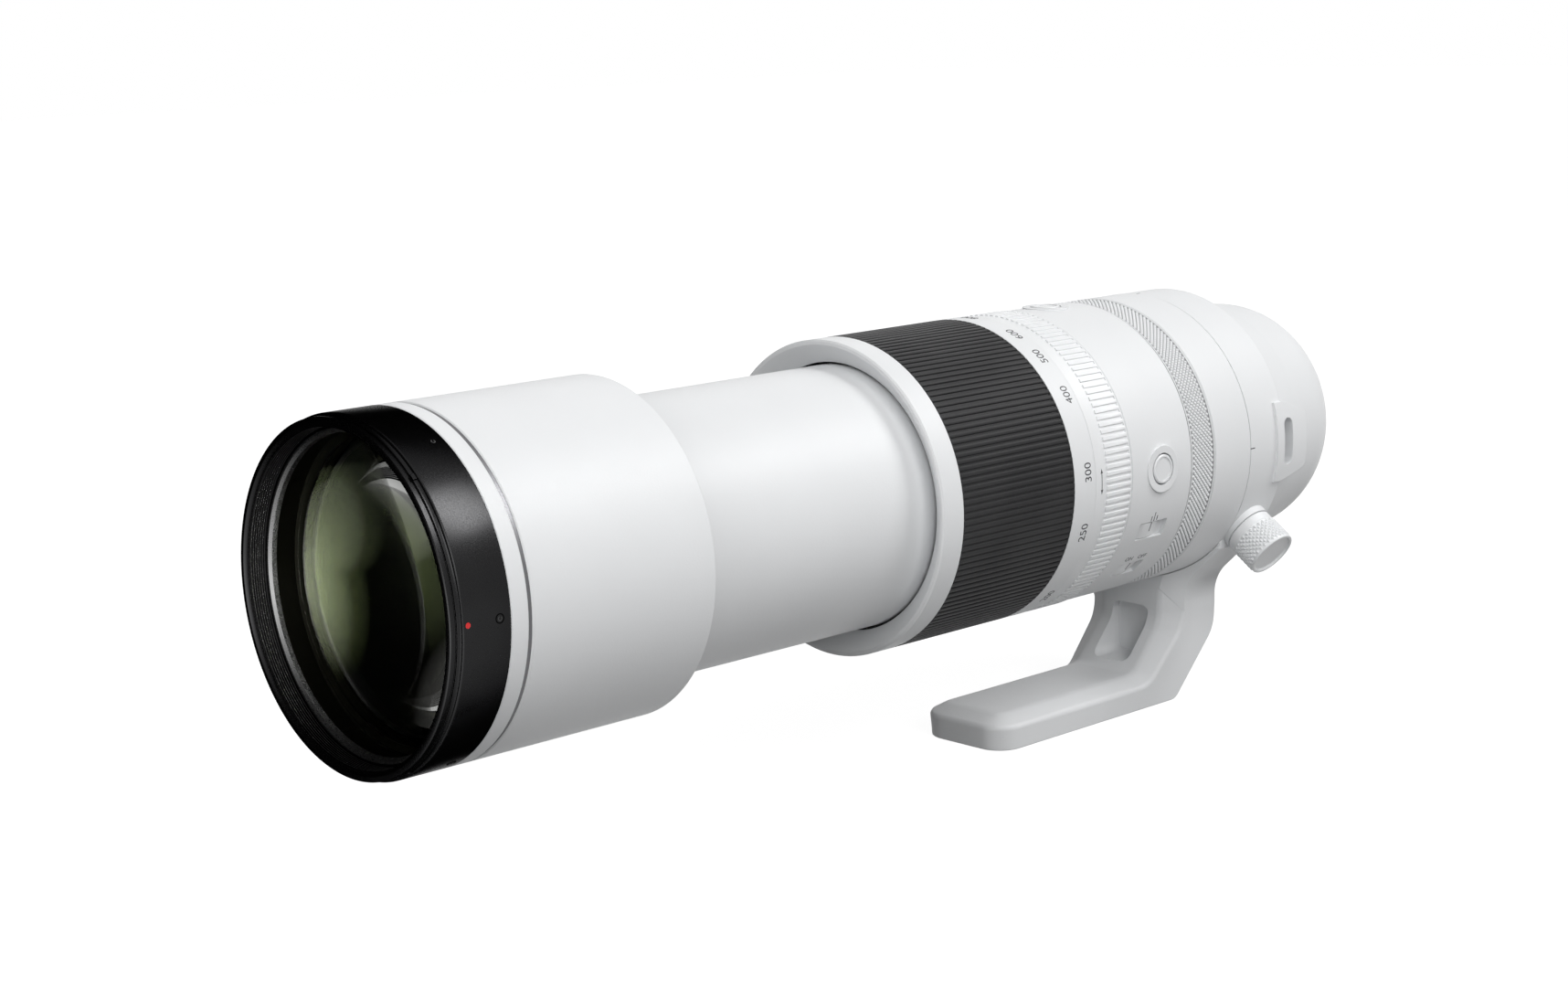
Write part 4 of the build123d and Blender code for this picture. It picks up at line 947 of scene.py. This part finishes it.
def softbox(name, direction, distance, target, width, height, radiance, diffuse=True):
    """A rectangular lamp of even brightness that stands in a direction from its target. Without diffuse
    it adds gloss alone."""
    lamp = bpy.data.lights.new(name, "AREA")
    lamp.shape = "RECTANGLE"
    lamp.size = width
    lamp.size_y = height
    lamp.energy = radiance * math.pi * width * height
    holder = add_object(name, lamp)
    outwards = Vector(direction).normalized()
    holder.location = Vector(target) + outwards * distance
    holder.rotation_euler = outwards.to_track_quat("Z", "Y").to_euler()
    holder.visible_camera = False
    holder.visible_diffuse = diffuse


def make_card(name, points, faces, material):
    """A studio card that shows only in reflections and through glass."""
    mesh = bpy.data.meshes.new(name)
    mesh.from_pydata(points, [], faces)
    mesh.materials.append(material)
    card = add_object(name, mesh)
    for rays in ("camera", "diffuse", "volume_scatter", "shadow"):
        setattr(card, f"visible_{rays}", False)


def make_cards():
    """Black cards round the front glass, with one soft bright patch low on the switch side."""
    material, tree, shader = new_material("studio_card")
    patch_middle, patch_radius, patch_glow = (0.28, -0.66, -0.02), 0.42, 7.0
    fade_height = 0.3
    patch = ramp(tree, distance_from(tree, patch_middle), patch_glow, 0.0, 0.0, patch_radius)
    place = tree.nodes.new("ShaderNodeTexCoord")
    split = tree.nodes.new("ShaderNodeSeparateXYZ")
    tree.links.new(place.outputs["Object"], split.inputs["Vector"])
    fade = ramp(tree, split.outputs["Z"], 1.0, 0.0, 0.0, fade_height)
    glow = math_node(tree, "MULTIPLY", patch, fade)
    shader.inputs["Base Color"].default_value = (0, 0, 0, 1)
    shader.inputs["Specular IOR Level"].default_value = 0.0
    shader.inputs["Emission Color"].default_value = (1, 1, 1, 1)
    tree.links.new(glow, shader.inputs["Emission Strength"])
    low_edge = floor_z + MM
    rear_y, front_y, top_z = -0.34, -0.75, 1.0
    left_x, right_x = -1.6, 0.7
    lines = [(rear_y, low_edge), (front_y, low_edge), (front_y, top_z)]
    points = [(x, y, z) for x in (left_x, right_x) for y, z in lines]
    make_card("front_card", points, [(0, 1, 4, 3), (1, 2, 5, 4)], material)
    side_x, side_y = -0.13, -0.74
    outline = ((rear_y, low_edge), (-0.6, low_edge), (side_y, 0.0), (side_y, top_z), (rear_y, top_z))
    make_card("side_card", [(side_x, y, z) for y, z in outline], [(0, 1, 2, 3, 4)], groove_shade_and_card_black)


def make_camera():
    """The photograph's camera, solved from the round edges along the barrel."""
    place = Vector((0.59051, -0.78470, 0.15593))
    right = Vector((0.683066, 0.729698, -0.031018))
    up = Vector((-0.114167, 0.148626, 0.982281))
    backwards = Vector((0.721378, -0.667422, 0.184829))
    data = bpy.data.cameras.new("camera")
    data.sensor_fit = "HORIZONTAL"
    data.sensor_width = 36.0
    data.lens = 60.0
    data.clip_start = 0.01
    camera = add_object("camera", data)
    turn = Matrix((right, up, backwards)).transposed().to_4x4()
    camera.matrix_world = Matrix.Translation(place) @ turn
    bpy.context.scene.camera = camera


make_floor()
make_world()

# Lamps: five light the middle of the lens, and one adds gloss to its front
middle = (0, -0.22, 0)
for name, direction, distance, size, radiance in (
    ("key_light", (0.45, 0.57, 0.69), 1.3, 0.5, 9.6),
    ("high_light", (0.3, -0.6, 0.75), 1.3, 0.8, 1.7),
    ("front_light", (0.1, -0.9, 0.3), 1.4, 0.8, 1.95),
    ("right_light", (0.85, -0.2, 0.5), 1.4, 0.8, 4.6),
    ("back_light", (-0.6, 0.5, 0.6), 1.3, 0.8, 1.0),
):
    softbox(name, direction, distance, middle, size, size, radiance)
front_middle = (0, -0.39, 0)
softbox("band_light", (0.475, 0.573, 0.667), 1.3, front_middle, 0.4, 0.55, 6.0, diffuse=False)

make_cards()
make_camera()
bpy.context.scene.view_settings.view_transform = "Standard"
